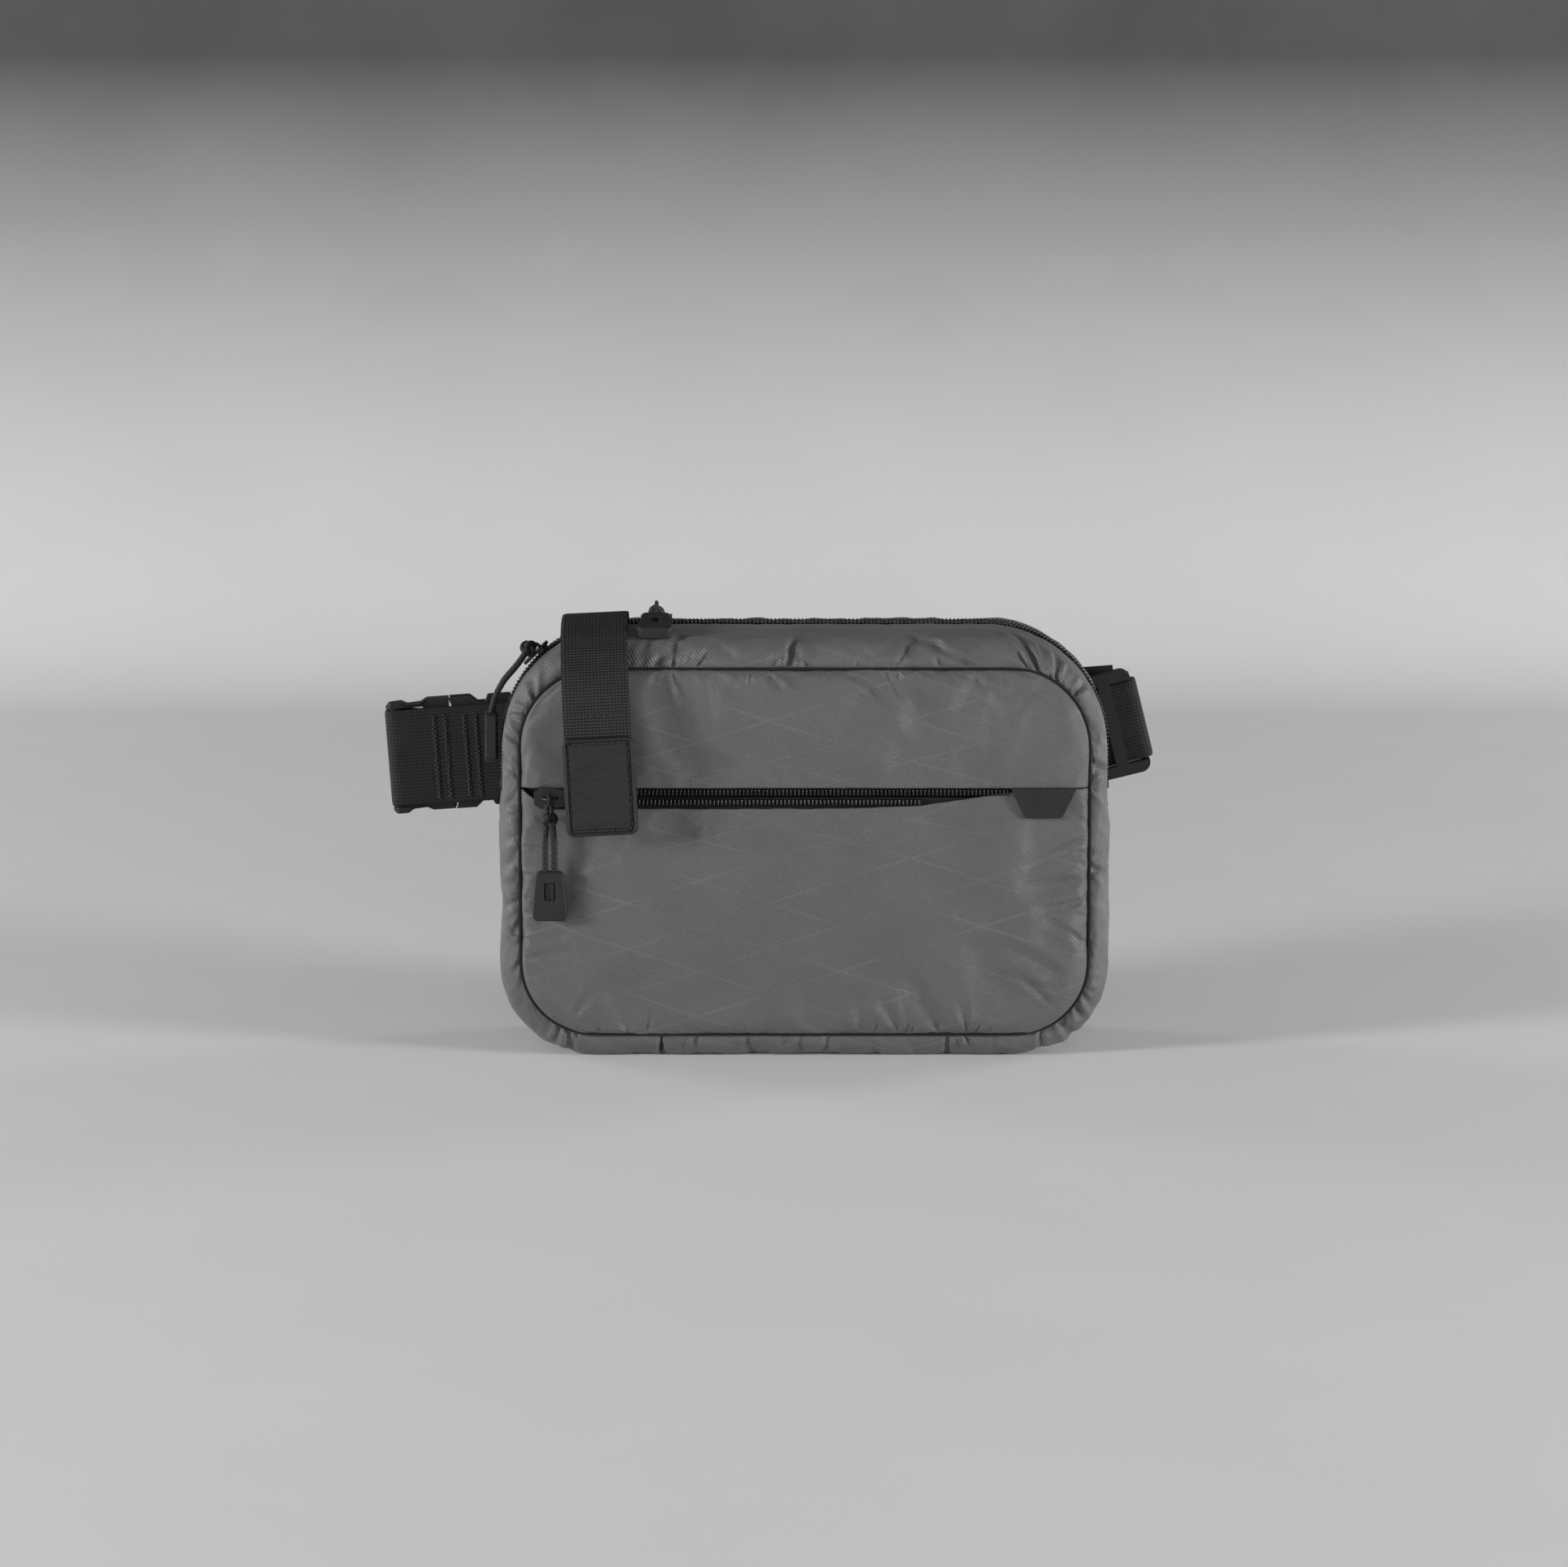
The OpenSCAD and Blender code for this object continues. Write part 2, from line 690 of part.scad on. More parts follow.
module at_left_slider()
    translate([-corner_x, 0, corner_z])
        rotate([0, 90 - left_slider_a, 0])
            children();

module pocket_slider()
    color(plastic_c)
        translate([pocket_slider_x, -front_face, pocket_z])
            rotate([90, 0, 0])
                mirror([1, 0, 0])
                    slider();

module pocket_pull_knot()
    color(webbing_c)
        at_pocket_eye()
            knot();

module pocket_pull_cord()
    color(webbing_c)
        at_pocket_eye()
            for (m = [-1, 1])
                tube([for (p = pocket_route) [m * p[0], p[1], p[2]]], cord_d, 8);

module pocket_pull_tab()
    color(rubber_c)
        at_pocket_eye()
            translate([0, pocket_end[1], pocket_end[2]])
                tab();

module main_slider_right()
    color(plastic_c)
        translate([right_slider_x, 0, pack_h])
            mirror([1, 0, 0])
                slider();

module main_right_pull_knot()
    color(webbing_c)
        at_right_eye()
            knot();

module main_right_pull_cord()
    color(webbing_c)
        at_right_eye()
            for (m = [-1, 1])
                translate([m * strand_gap / 2, 0, -right_tab_drop])
                    cylinder(d = cord_d, h = right_tab_drop - knot_drop - knot_d / 2 + strand_bite, $fn = 24);

module main_right_pull_tab()
    color(rubber_c)
        at_right_eye()
            translate([0, 0, -right_tab_drop])
                tab();

module main_slider_left()
    color(plastic_c)
        at_left_slider()
            translate([0, 0, top_r])
                slider();

module main_left_pull_knot()
    color(webbing_c)
        at_left_slider()
            translate([0, 0, left_eye_r])
                rotate([-90, 0, 0])
                    knot();

module main_left_pull_cord()
    color(webbing_c)
        translate(left_eye)
            for (m = [-1, 1])
                tube([for (p = left_route) p + [0, m * strand_gap / 2, 0]], cord_d, 8);

module main_left_pull_tab()
    color(rubber_c)
        translate(left_eye + left_route[len(left_route) - 1])
            rotate([0, 0, 90])
                tab();

// Outline of a strap of thickness t that follows a path
function heading(path, i) =
    let (v = path[min(len(path) - 1, i + 1)] - path[max(0, i - 1)])
    v / norm(v);
function strap_edge(path, i, off) = path[i] + off * [-heading(path, i)[1], heading(path, i)[0]];
function strap_outline(path, t) = concat(
    [for (i = [0:len(path) - 1]) strap_edge(path, i, t / 2)],
    [for (i = [len(path) - 1:-1:0]) strap_edge(path, i, -t / 2)]);
// Way back of a strap's end from the far side of its bar at x down to height low, over a run
function settle(x, high, low, run) =
    [[x + 0.32 * run, high - 0.4], [x + 0.8 * run, low + 0.3], [x + run, low]];
function turn(c, r, a0, a1) = [for (k = [0:6]) c + r * [cos(lerp(a0, a1, k / 6)), sin(lerp(a0, a1, k / 6))]];

// Extrusion of a Y-Z outline across X, centred
module across_x(w)
    translate([-w / 2, 0, 0])
        rotate([90, 0, 90])
            linear_extrude(w)
                children();

// Frame of the handle: it leans about the mouth's edge
module at_handle()
    translate([handle_x, 0, pack_h])
        rotate([0, -handle_lean, 0])
            translate([0, 0, -pack_h])
                children();

// Fixed upper part of the handle: from the sack's top through the mouth and over the front gusset
module handle_tail() {
    over = [for (p = tail_lay) [-p[0] * front_d, fold_z + fold_r - p[1]]];
    hinge = [hinge_y, hinge_z];
    back = over[len(over) - 1] - hinge;
    last = hinge + tail_gap * back / norm(back);
    path = concat([[0, sack_top + sew_gap]], turn([-fold_r, fold_z], fold_r, 0, 90), over, [last]);
    color(webbing_c)
        at_handle()
            across_x(handle_w)
                polygon(strap_outline(path, handle_t));
}

// Hanging part of the handle. Its upper edge turns about the end of the fixed part.
module handle_strap() {
    bow = [[0, 0], [0.55, 0.3], [0.88, 0.7], [1, 1]];
    drop = hinge_z - patch_low - patch_h;
    path = concat(
        [for (p = bow) [lerp(hinge_y, -flap_y, p[0]), hinge_z - p[1] * drop]],
        [[-flap_y, patch_low + strap_end_in]]);
    color(webbing_c)
        at_handle() {
            across_x(handle_w)
                polygon(strap_outline(path, handle_t));
            translate([-handle_w / 2, hinge_y, hinge_z])
                rotate([0, 90, 0])
                    cylinder(d = handle_t, h = handle_w, $fn = 48);
        }
}

// Rubber patch: a raised rim, a groove for its stitches and a sunk field with wavy ribs
module handle_patch() {
    face = -flap_y - handle_t / 2 - patch_t;
    half = patch_w / 2 - patch_rim - groove_w - run_gap;
    first = patch_low + patch_rim + groove_w + rib_swing + rib_w;
    step = (patch_h - 2 * (first - patch_low)) / (rib_count - 1);
    function wave(k) =
        [for (x = [-half:half / 8:half]) [x, first + k * step + rib_swing * sin(360 * x / rib_wave)]];
    module outline(o)
        rounded_panel(patch_w, patch_low, patch_low + patch_h, patch_r, patch_r, o);
    color(rubber_c)
        at_handle() {
            difference() {
                along_y(face, face + patch_t)
                    outline(0);
                along_y(face - 1, face + groove_deep)
                    difference() {
                        outline(patch_rim);
                        outline(patch_rim + groove_w);
                    }
                along_y(face - 1, face + field_deep)
                    outline(patch_rim + groove_w);
            }
            for (k = [0:rib_count - 1])
                along_y(face + field_deep - rib_rise, face + field_deep)
                    polygon(strap_outline(wave(k), rib_w));
        }
}

// Pillow-shaped sack, o inside its outer face
module sack_form(o)
    hull() {
        along_y(o - sack_mid, sack_mid - o)
            rounded_panel(pack_w - 2 * sack_side, tape_in, sack_top, sack_r_up, sack_r_low, o, 32);
        along_y(o - sack_front, sack_rear - o)
            rounded_panel(
                pack_w - 2 * (sack_side + sack_face_in), tape_in + sack_face_lift, sack_top - sack_face_drop,
                sack_face_r_up, sack_face_r_low, o, 32);
    }

module throw_sack()
    color(lining_c)
        difference() {
            sack_form(0);
            sack_form(sack_t);
        }

// Outer form of the packed rope: turns laid in a long round-ended coil on the sack's floor
module throw_rope()
    color(rope_c)
        along_y(-hank_d / 2, hank_d / 2)
            translate([0, tape_in + sack_t + sew_gap + hank_h / 2]) {
                square([hank_w - hank_h, hank_h], center = true);
                for (m = [-1, 1])
                    translate([m * (hank_w - hank_h) / 2, 0])
                        circle(d = hank_h, $fn = 96);
            }

// Frame of the belt: X runs along it from the buckle, Z across it
module at_belt()
    translate([buckle_x, 0, belt_z])
        rotate([0, -belt_slope, 0])
            children();

module at_wing()
    translate([glide_x, 0, glide_z])
        rotate([0, -wing_slope, 0])
            children();

module belt_run(path, w)
    translate([0, 0, -w / 2])
        linear_extrude(w)
            polygon(strap_outline(path, belt_t));

// Left wing: sewn to the back panel, folded round the buckle's bar, with its end sewn to itself
module left_wing_webbing() {
    doubled = sewn_y + belt_t + sew_gap;
    fold = turn([bar_x, sewn_y + wrap_r], wrap_r, 270, 90);
    color(webbing_c)
        at_belt()
            belt_run(concat(
                [[wing_sewn, sewn_y], [0, sewn_y]],
                fold,
                settle(bar_x, sewn_y + 2 * wrap_r, doubled, wing_settle),
                [[wing_tail, doubled]]), belt_w);
}

// Male half of the side-release buckle: bar, cheeks, base and the guide tongue between the prongs
module buckle_male() {
    cheek = belt_w / 2 + cheek_gap;
    top = cheek + cheek_t;
    waist = cheek + waist_t;
    bar_y = sewn_y + wrap_r;
    base_low = buckle_y - buckle_t / 2 + base_step;
    base_high = buckle_y + buckle_t / 2 - base_step;
    base_end = base_x + base_len;
    color(plastic_c)
        at_belt() {
            translate([bar_x, bar_y, -top])
                cylinder(d = bar_d, h = 2 * top, $fn = 48);
            for (m = [0, 1])
                mirror([0, 0, m])
                    intersection() {
                        translate([0, 0, cheek])
                            linear_extrude(cheek_t)
                                polygon([
                                    [bar_x - lug, bar_y - lug_low + lug_cut],
                                    [bar_x - lug + lug_cut, bar_y - lug_low],
                                    [bar_x + lug_low, bar_y - lug_low], [base_x + lug_cut, base_low],
                                    [base_end, base_low], [base_end, base_high],
                                    [base_x, base_high], [bar_x - lug, bar_y + lug_high]]);
                        along_y(sewn_y - bar_d, buckle_y + buckle_t)
                            polygon([
                                [bar_x - lug, cheek], [bar_x - lug, top - edge_cut],
                                [bar_x - lug + edge_cut, top],
                                [bar_x + lug_high, top], [bar_x + 2 * lug_high, waist],
                                [base_x + edge_cut - lug_high, waist], [base_x + edge_cut, top],
                                [base_end, top], [base_end, cheek]]);
                    }
            translate([base_x, base_low, -cheek])
                cube([base_len, base_high - base_low, 2 * cheek]);
            translate([base_end, buckle_y - prong_t / 2, -tongue_w / 2])
                cube([tongue_len, prong_t, tongue_w]);
        }
}

// One sprung prong: a root eye, an arm and a button that shows in the housing's side
module prong(m)
    color(plastic_c)
        at_belt()
            mirror([0, 0, m < 0 ? 1 : 0])
                translate([0, buckle_y + prong_t / 2, 0])
                    rotate([90, 0, 0])
                        linear_extrude(prong_t)
                            union() {
                                translate([prong_x, prong_z])
                                    circle(prong_root_r, $fn = 48);
                                polygon([
                                    [prong_x, prong_z - prong_root_r],
                                    [prong_x + prong_len - prong_nose, prong_z - 0.6],
                                    [prong_x + prong_len - 1, prong_z + 1],
                                    [prong_x + prong_len, prong_z + 3.2],
                                    [prong_x + button_x + button_len, housing_half],
                                    [prong_x + button_x, housing_half],
                                    [prong_x + button_x - button_ramp, prong_z + 3],
                                    [prong_x, prong_z + prong_root_r]]);
                            }

module buckle_prong_upper()
    prong(1);

module buckle_prong_lower()
    prong(-1);

// Female half of the buckle: a flat housing, open at the sides for the prongs, and a bar for the belt
module buckle_female() {
    rail = belt_w / 2 + cheek_gap;
    slot = prong_t + 2 * run_gap;
    recess = housing_half - side_recess;
    cut_from = recess_from + recess_ramp;
    cut_to = recess_to - recess_ramp;
    square_half = housing_half - housing_cut;
    square_len = housing_len - housing_cut;
    color(plastic_c)
        at_belt()
            translate([housing_x, buckle_y, 0]) {
                difference() {
                    translate([0, buckle_t / 2, 0])
                        rotate([90, 0, 0])
                            linear_extrude(buckle_t)
                                polygon([
                                    [0, -housing_half], [recess_from, -housing_half], [cut_from, -recess],
                                    [cut_to, -recess], [recess_to, -housing_half],
                                    [square_len, -housing_half],
                                    [housing_len, -square_half], [housing_len, square_half],
                                    [square_len, housing_half], [recess_to, housing_half], [cut_to, recess],
                                    [cut_from, recess], [recess_from, housing_half], [0, housing_half],
                                    [mouth_dip, housing_half / 2], [mouth_dip, -housing_half / 2]]);
                    translate([-1, -slot / 2, -housing_half - 1])
                        cube([housing_len - 1, slot, 2 * housing_half + 2]);
                }
                for (m = [0, 1])
                    mirror([0, 0, m])
                        translate([housing_len - ear_bite, -buckle_t / 4, rail])
                            cube([ear_len, buckle_t / 2, cheek_t - cheek_gap]);
                translate([housing_len + female_bar_out, 0, -rail - 1])
                    cylinder(d = bar_d, h = 2 * rail + 2, $fn = 48);
            }
}

// End of the belt that wraps the female half's bar and moves with it
module belt_tail()
    color(webbing_c)
        at_belt()
            belt_run(concat(
                [[female_bar_x + tail_sewn, buckle_y - wrap_r]],
                turn([female_bar_x, buckle_y], wrap_r, 270, 90),
                settle(female_bar_x, buckle_y + wrap_r, tail_y, tail_settle),
                [[female_bar_x + tail_len, tail_y]]), belt_w);

// Belt behind the back panel, from under its moving end to the right wing
module belt_strap() {
    right_end = glide_x - buckle_x + 2;
    sewn_over = return_y + belt_t + sew_gap;
    color(webbing_c)
        at_belt()
            belt_run([
                [female_bar_x + release_travel + loop_len, strap_y],
                [right_end - strap_sewn - strap_ease, strap_y],
                [right_end - strap_sewn, sewn_over],
                [right_end, sewn_over]], wing_w);
}

// Right wing: sewn to the back panel, through the tri-glide and folded round its outer bar
module right_wing_strap()
    color(webbing_c)
        at_wing()
            belt_run(concat(
                [[-wing_root, sewn_y], [-wing_rise, sewn_y], [-wing_level, glide_y]],
                turn([glide_bar_x, glide_y + glide_wrap], glide_wrap, 270, 450),
                [[-wing_return, return_y]]), wing_w);

// Tri-glide: two round-ended rails, a bar at each end behind the webbing and a flat middle bar before it
module tri_glide() {
    inner = wing_w / 2 + cheek_gap;
    outer = inner + glide_rail;
    reach = inner + glide_rail / 2;
    color(plastic_c)
        at_wing() {
            along_y(glide_y - glide_front, glide_y + glide_back)
                difference() {
                    rounded_panel(glide_len, -outer, outer, glide_r, glide_r, 0);
                    square([glide_len + 2, 2 * inner], center = true);
                }
            for (m = [-1, 1])
                translate([m * glide_bar_x, glide_y + glide_wrap, -reach])
                    cylinder(d = glide_bar_d, h = 2 * reach, $fn = 36);
            translate([-glide_flat_w / 2, glide_y - belt_t / 2 - run_gap - glide_flat_t, -reach])
                cube([glide_flat_w, glide_flat_t, 2 * reach]);
        }
}

back_panel();
back_pad();
side_gusset_left();
side_gusset_right();
top_gusset_front();
top_gusset_rear();
bottom_gusset();
front_panel_upper();
front_panel_lower();
pocket_liner();
main_zip_tape_front();
main_zip_tape_rear();
main_zip_coil_front();
main_zip_coil_rear();
main_zip_stops();
main_slider_left();
main_left_pull_knot();
main_left_pull_cord();
main_left_pull_tab();
main_slider_right();
main_right_pull_knot();
main_right_pull_cord();
main_right_pull_tab();
pocket_zip_tape();
pocket_zip_coil();
pocket_slider();
pocket_pull_knot();
pocket_pull_cord();
pocket_pull_tab();
zip_tag();
throw_sack();
throw_rope();
handle_tail();
handle_strap();
handle_patch();
left_wing_webbing();
buckle_male();
buckle_prong_upper();
buckle_prong_lower();
buckle_female();
belt_tail();
belt_strap();
right_wing_strap();
tri_glide();
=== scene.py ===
"""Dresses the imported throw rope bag: fabric shells, zips, pulls, webbing and hardware, in the CAD frame.

Lengths in this script are millimetres, turned into metres when a mesh is made. X is to the photo's right,
Y goes from the front panel to the back, and Z is up.
"""

import json
import math

import bmesh
import bpy
import numpy as np
from mathutils import Matrix, Vector

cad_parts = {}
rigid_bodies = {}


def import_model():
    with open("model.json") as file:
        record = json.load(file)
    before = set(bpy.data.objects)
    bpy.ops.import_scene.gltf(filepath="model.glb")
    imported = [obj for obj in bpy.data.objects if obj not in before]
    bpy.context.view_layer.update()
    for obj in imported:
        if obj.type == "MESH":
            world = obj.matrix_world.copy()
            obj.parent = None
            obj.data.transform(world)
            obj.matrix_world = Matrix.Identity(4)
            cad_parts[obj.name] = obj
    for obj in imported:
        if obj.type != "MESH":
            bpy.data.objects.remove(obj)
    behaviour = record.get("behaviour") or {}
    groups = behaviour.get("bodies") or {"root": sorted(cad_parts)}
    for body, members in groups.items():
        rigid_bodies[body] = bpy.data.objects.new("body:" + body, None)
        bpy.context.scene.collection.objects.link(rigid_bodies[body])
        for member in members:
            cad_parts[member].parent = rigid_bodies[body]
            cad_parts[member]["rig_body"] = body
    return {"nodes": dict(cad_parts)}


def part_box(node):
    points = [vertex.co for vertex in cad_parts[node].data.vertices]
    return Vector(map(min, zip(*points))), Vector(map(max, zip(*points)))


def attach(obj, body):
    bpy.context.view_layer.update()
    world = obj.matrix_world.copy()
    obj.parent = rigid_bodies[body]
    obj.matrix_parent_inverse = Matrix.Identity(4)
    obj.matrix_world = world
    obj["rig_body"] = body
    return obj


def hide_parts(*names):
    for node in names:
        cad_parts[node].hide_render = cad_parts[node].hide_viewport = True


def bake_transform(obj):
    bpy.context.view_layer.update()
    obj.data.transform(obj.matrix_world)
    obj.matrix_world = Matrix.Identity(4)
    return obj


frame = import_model()
scene = bpy.context.scene
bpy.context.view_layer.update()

MM = 0.001

# Pack body, as in the part's source
PACK_W, PACK_H = 234.0, 165.0
FRONT_W, FRONT_TOP, FRONT_LIFT = 217.0, 150.5, 9.5
FRONT_D, REAR_D = 32.0, 33.0
BACK_W, BACK_H = 228.0, 157.0
TOP_R, BOTTOM_R = 48.0, 36.0
FRONT_TOP_R, FRONT_BOTTOM_R = 30.0, 28.0
WALL, CROWN = 1.2, 3.8
JOIN_X, BAND_HALF, FOOT_FRONT = 55.0, 9.0, 20.0
FRONT_FACE = FRONT_D + CROWN + WALL
CORNER_X, CORNER_Z = PACK_W / 2 - TOP_R, PACK_H - TOP_R

# Zips
ZIP_END_Z, POCKET_Z, SLIT_HALF = 100.0, 102.0, 4.5
ROW_GAP = 1.2
TAPE_IN = 1.55
TOOTH_PITCH = 1.5
MOUTH = (-96.0, -63.35)
MOUTH_GAP = 2.5
STOP_TOP = ZIP_END_Z + 3.85
EYE_Z = 5.35
LEFT_SLIDER_A = 134.0
POCKET_EYE = (-97.0, -FRONT_FACE - EYE_Z, POCKET_Z)
RIGHT_EYE = (-57.0, 0.0, PACK_H + EYE_Z)
LEFT_EYE = (-106.06, 0.0, 155.38)
CORD_D, STRAND_GAP = 2.4, 3.4
KNOT_DROP = 7.6

# Handle
HANDLE_X, HANDLE_W, HANDLE_T, HANDLE_LEAN = -80.2, 25.4, 1.8, 2.8
HINGE = (-42.2, 149.5)
FOLD_Z, FOLD_R = 165.45, 2.4
FLAP_Y = 47.65
PATCH_W, PATCH_H, PATCH_T, PATCH_R, PATCH_LOW = 27.4, 37.7, 2.4, 3.0, 89.1
SACK_TOP = 138.0

# Belt
BELT_W, WING_W, BELT_T, BELT_SLOPE, WING_SLOPE = 38.1, 31.8, 1.8, 4.0, 14.0
BELT_AT, WING_AT = (-143.6, 107.0), (121.7, 119.0)
SEWN_Y, DOUBLED_Y, WRAP_R, BAR_X = 35.45, 37.6, 3.25, -16.5
BUCKLE_Y, FEMALE_BAR_X = 44.2, 40.85
TAIL_Y, STRAP_Y = 43.1, 45.25
GLIDE_Y, GLIDE_WRAP, GLIDE_BAR_X, RETURN_Y = 38.95, 2.85, 9.4, 44.65

CELL = 2.6
RIB_PITCH = 1.16


def lerp(a, b, s):
    return a + (b - a) * s


def smooth(s):
    c = np.clip(s, 0, 1)
    return c * c * (3 - 2 * c)


def bulge(s):
    return np.sqrt(np.maximum(0, 1 - (1 - s) ** 2))


def run_along(points):
    """Way of each point along a polyline, from its start."""
    return np.concatenate([[0], np.cumsum(np.linalg.norm(np.diff(points, axis=0), axis=1))])


def directions(points):
    """Unit directions along a polyline."""
    aim = np.gradient(points, axis=0)
    return aim / np.linalg.norm(aim, axis=1)[:, None]


def points_at(points, at):
    """Points of a polyline at the given ways along it."""
    run = run_along(points)
    return np.stack([np.interp(at, run, k) for k in np.asarray(points, float).T], axis=1)


def resample(points, step):
    """Points at an even spacing of about step along a polyline, and their ways along it."""
    end = run_along(points)[-1]
    at = np.linspace(0, end, max(2, int(round(end / step)) + 1))
    return points_at(points, at), at


def soften(points, reach):
    """Rounds a polyline's corners: a moving average over reach points on each side, ends kept."""
    p = np.asarray(points, float)
    padded = np.concatenate([2 * p[0] - p[reach:0:-1], p, 2 * p[-1] - p[-2:-reach - 2:-1]])
    kernel = np.ones(2 * reach + 1) / (2 * reach + 1)
    return np.stack([np.convolve(padded[:, k], kernel, "valid") for k in range(p.shape[1])], axis=1)


def arc(c, r, a0, a1, n=24):
    """Points on a circle's arc, angles in degrees."""
    a = np.radians(np.linspace(a0, a1, n))
    return [(c[0] + r * math.cos(t), c[1] + r * math.sin(t)) for t in a]


def make(name, points, faces, uv=None):
    """Mesh object from points in millimetres. uv holds one millimetre pair for each point."""
    mesh = bpy.data.meshes.new(name)
    mesh.from_pydata((np.asarray(points, float) * MM).tolist(), [], faces)
    if uv is not None:
        layer = mesh.uv_layers.new(name="cloth")
        corners = np.empty(len(mesh.loops), int)
        mesh.loops.foreach_get("vertex_index", corners)
        layer.data.foreach_set("uv", (np.asarray(uv, float)[corners] * MM).astype(np.float32).ravel())
    mesh.validate()
    mesh.polygons.foreach_set("use_smooth", [True] * len(mesh.polygons))
    obj = bpy.data.objects.new(name, mesh)
    scene.collection.objects.link(obj)
    return obj


def grid_faces(rows, cols, wrap=False, keep=None):
    """Quads of a grid whose points are stored row by row; wrap closes each row on itself."""
    across = cols if wrap else cols - 1
    return [
        (i * cols + j, i * cols + (j + 1) % cols, (i + 1) * cols + (j + 1) % cols, (i + 1) * cols + j)
        for i in range(rows - 1) for j in range(across)
        if keep is None or keep(i, j)]


def capped_faces(rows, sides, first=0):
    """Faces of a tube of rings with closed ends. first is the number of its first point."""
    faces = grid_faces(rows, sides, wrap=True)
    faces += [tuple(reversed(range(sides))), tuple((rows - 1) * sides + k for k in range(sides))]
    return [tuple(first + v for v in f) for f in faces]


def surface(x, y, z):
    """Points of a grid from its three coordinates."""
    return np.stack([x, y, z], axis=2).reshape(-1, 3)


def placed(where, points):
    return [where @ Vector(p) for p in points]


def coordinates(mesh, attribute="co"):
    """One of the vectors of a mesh's points, such as its place in metres or its normal."""
    flat = np.empty(3 * len(mesh.vertices))
    mesh.vertices.foreach_get(attribute, flat)
    return flat.reshape(-1, 3)


def finish_piece(obj, slot, material, *nodes, ride=True):
    """Gives a piece its material, hides the nodes it stands for, and rides it on their body. slot is not
    used.
    """
    obj.data.materials.clear()
    obj.data.materials.append(material)
    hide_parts(*nodes)
    if ride:
        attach(obj, frame["nodes"][nodes[0]]["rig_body"])
    return obj


def modifier(obj, kind, **settings):
    m = obj.modifiers.new(kind.lower(), kind)
    for key, value in settings.items():
        setattr(m, key, value)
    return m


class Shader:
    """A procedural material around one Principled BSDF."""

    def __init__(self, name, roughness, specular=0.5, sheen=0.0):
        self.material = bpy.data.materials.new(name)
        self.material.use_nodes = True
        self.tree = self.material.node_tree
        self.bsdf = self.tree.nodes["Principled BSDF"]
        self.bsdf.inputs["Roughness"].default_value = roughness
        self.bsdf.inputs["Specular IOR Level"].default_value = specular
        self.bsdf.inputs["Sheen Weight"].default_value = sheen

    def node(self, kind, *inputs, **settings):
        n = self.tree.nodes.new("ShaderNode" + kind)
        for key, value in settings.items():
            setattr(n, key, value)
        for socket, value in zip(n.inputs, inputs):
            if isinstance(value, bpy.types.NodeSocket):
                self.tree.links.new(value, socket)
            elif value is not None:
                socket.default_value = value
        return n

    def math(self, operation, *values):
        return self.node("Math", *values, operation=operation).outputs[0]

    def uv(self):
        return self.node("UVMap", uv_map="cloth").outputs[0]

    def place(self):
        return self.node("TexCoord").outputs["Object"]

    def wave(self, where, direction, pitch):
        """Sine across the surface, from -1 to 1. The pitch is in millimetres."""
        aim = Vector(direction).normalized() * (2 * math.pi / (pitch * MM))
        dot = self.node("VectorMath", where, tuple(aim), operation="DOT_PRODUCT").outputs["Value"]
        return self.math("SINE", dot)

    def noise(self, where, size, detail=3.0):
        """Noise from 0 to 1 with features of about size millimetres."""
        n = self.node("TexNoise", where)
        n.inputs["Scale"].default_value = 1 / (size * MM)
        n.inputs["Detail"].default_value = detail
        return n.outputs[0]

    def spread(self, value, low, high, to_low, to_high):
        return self.node("MapRange", value, low, high, to_low, to_high).outputs[0]

    def add(self, *values):
        total = values[0]
        for v in values[1:]:
            total = self.math("ADD", total, v)
        return total

    def times(self, a, b):
        return self.math("MULTIPLY", a, b)

    def tone(self, value, dark, light):
        """Base colour from dark at 0 to light at 1, as sRGB greys or colours from 0 to 255."""
        ramp = self.node("ValToRGB", value)
        for stop, colour in zip(ramp.color_ramp.elements, (dark, light)):
            stop.color = linear(colour)
        self.tree.links.new(ramp.outputs[0], self.bsdf.inputs["Base Color"])

    def rough(self, value):
        self.tree.links.new(value, self.bsdf.inputs["Roughness"])

    def bump(self, *layers):
        """Bump from pairs of a height from 0 to 1 and its depth in millimetres."""
        normal = None
        for height, depth in layers:
            b = self.node("Bump")
            b.inputs["Distance"].default_value = depth * MM
            self.tree.links.new(height, b.inputs["Height"])
            if normal is not None:
                self.tree.links.new(normal, b.inputs["Normal"])
            normal = b.outputs[0]
        self.tree.links.new(normal, self.bsdf.inputs["Normal"])


def linear(colour):
    """Linear RGBA of an sRGB grey or colour from 0 to 255."""
    rgb = colour if hasattr(colour, "__len__") else (colour,) * 3
    flat = [c / 255 for c in rgb]
    return [c / 12.92 if c <= 0.04045 else ((c + 0.055) / 1.055) ** 2.4 for c in flat] + [1.0]


# Camera, floor and light
CAMERA_ELEVATION = 9.0
CAMERA_DISTANCE = 2.0
CAMERA_TARGET = Vector((-0.0079, 0.0, 0.1015))
CAMERA_LENS = 118.5


def aimed(name, data, place, aim):
    """Camera or lamp at a place, looking along a direction."""
    obj = bpy.data.objects.new(name, data)
    obj.location = place
    obj.rotation_mode = "QUATERNION"
    obj.rotation_quaternion = aim.to_track_quat("-Z", "Y")
    scene.collection.objects.link(obj)
    return obj


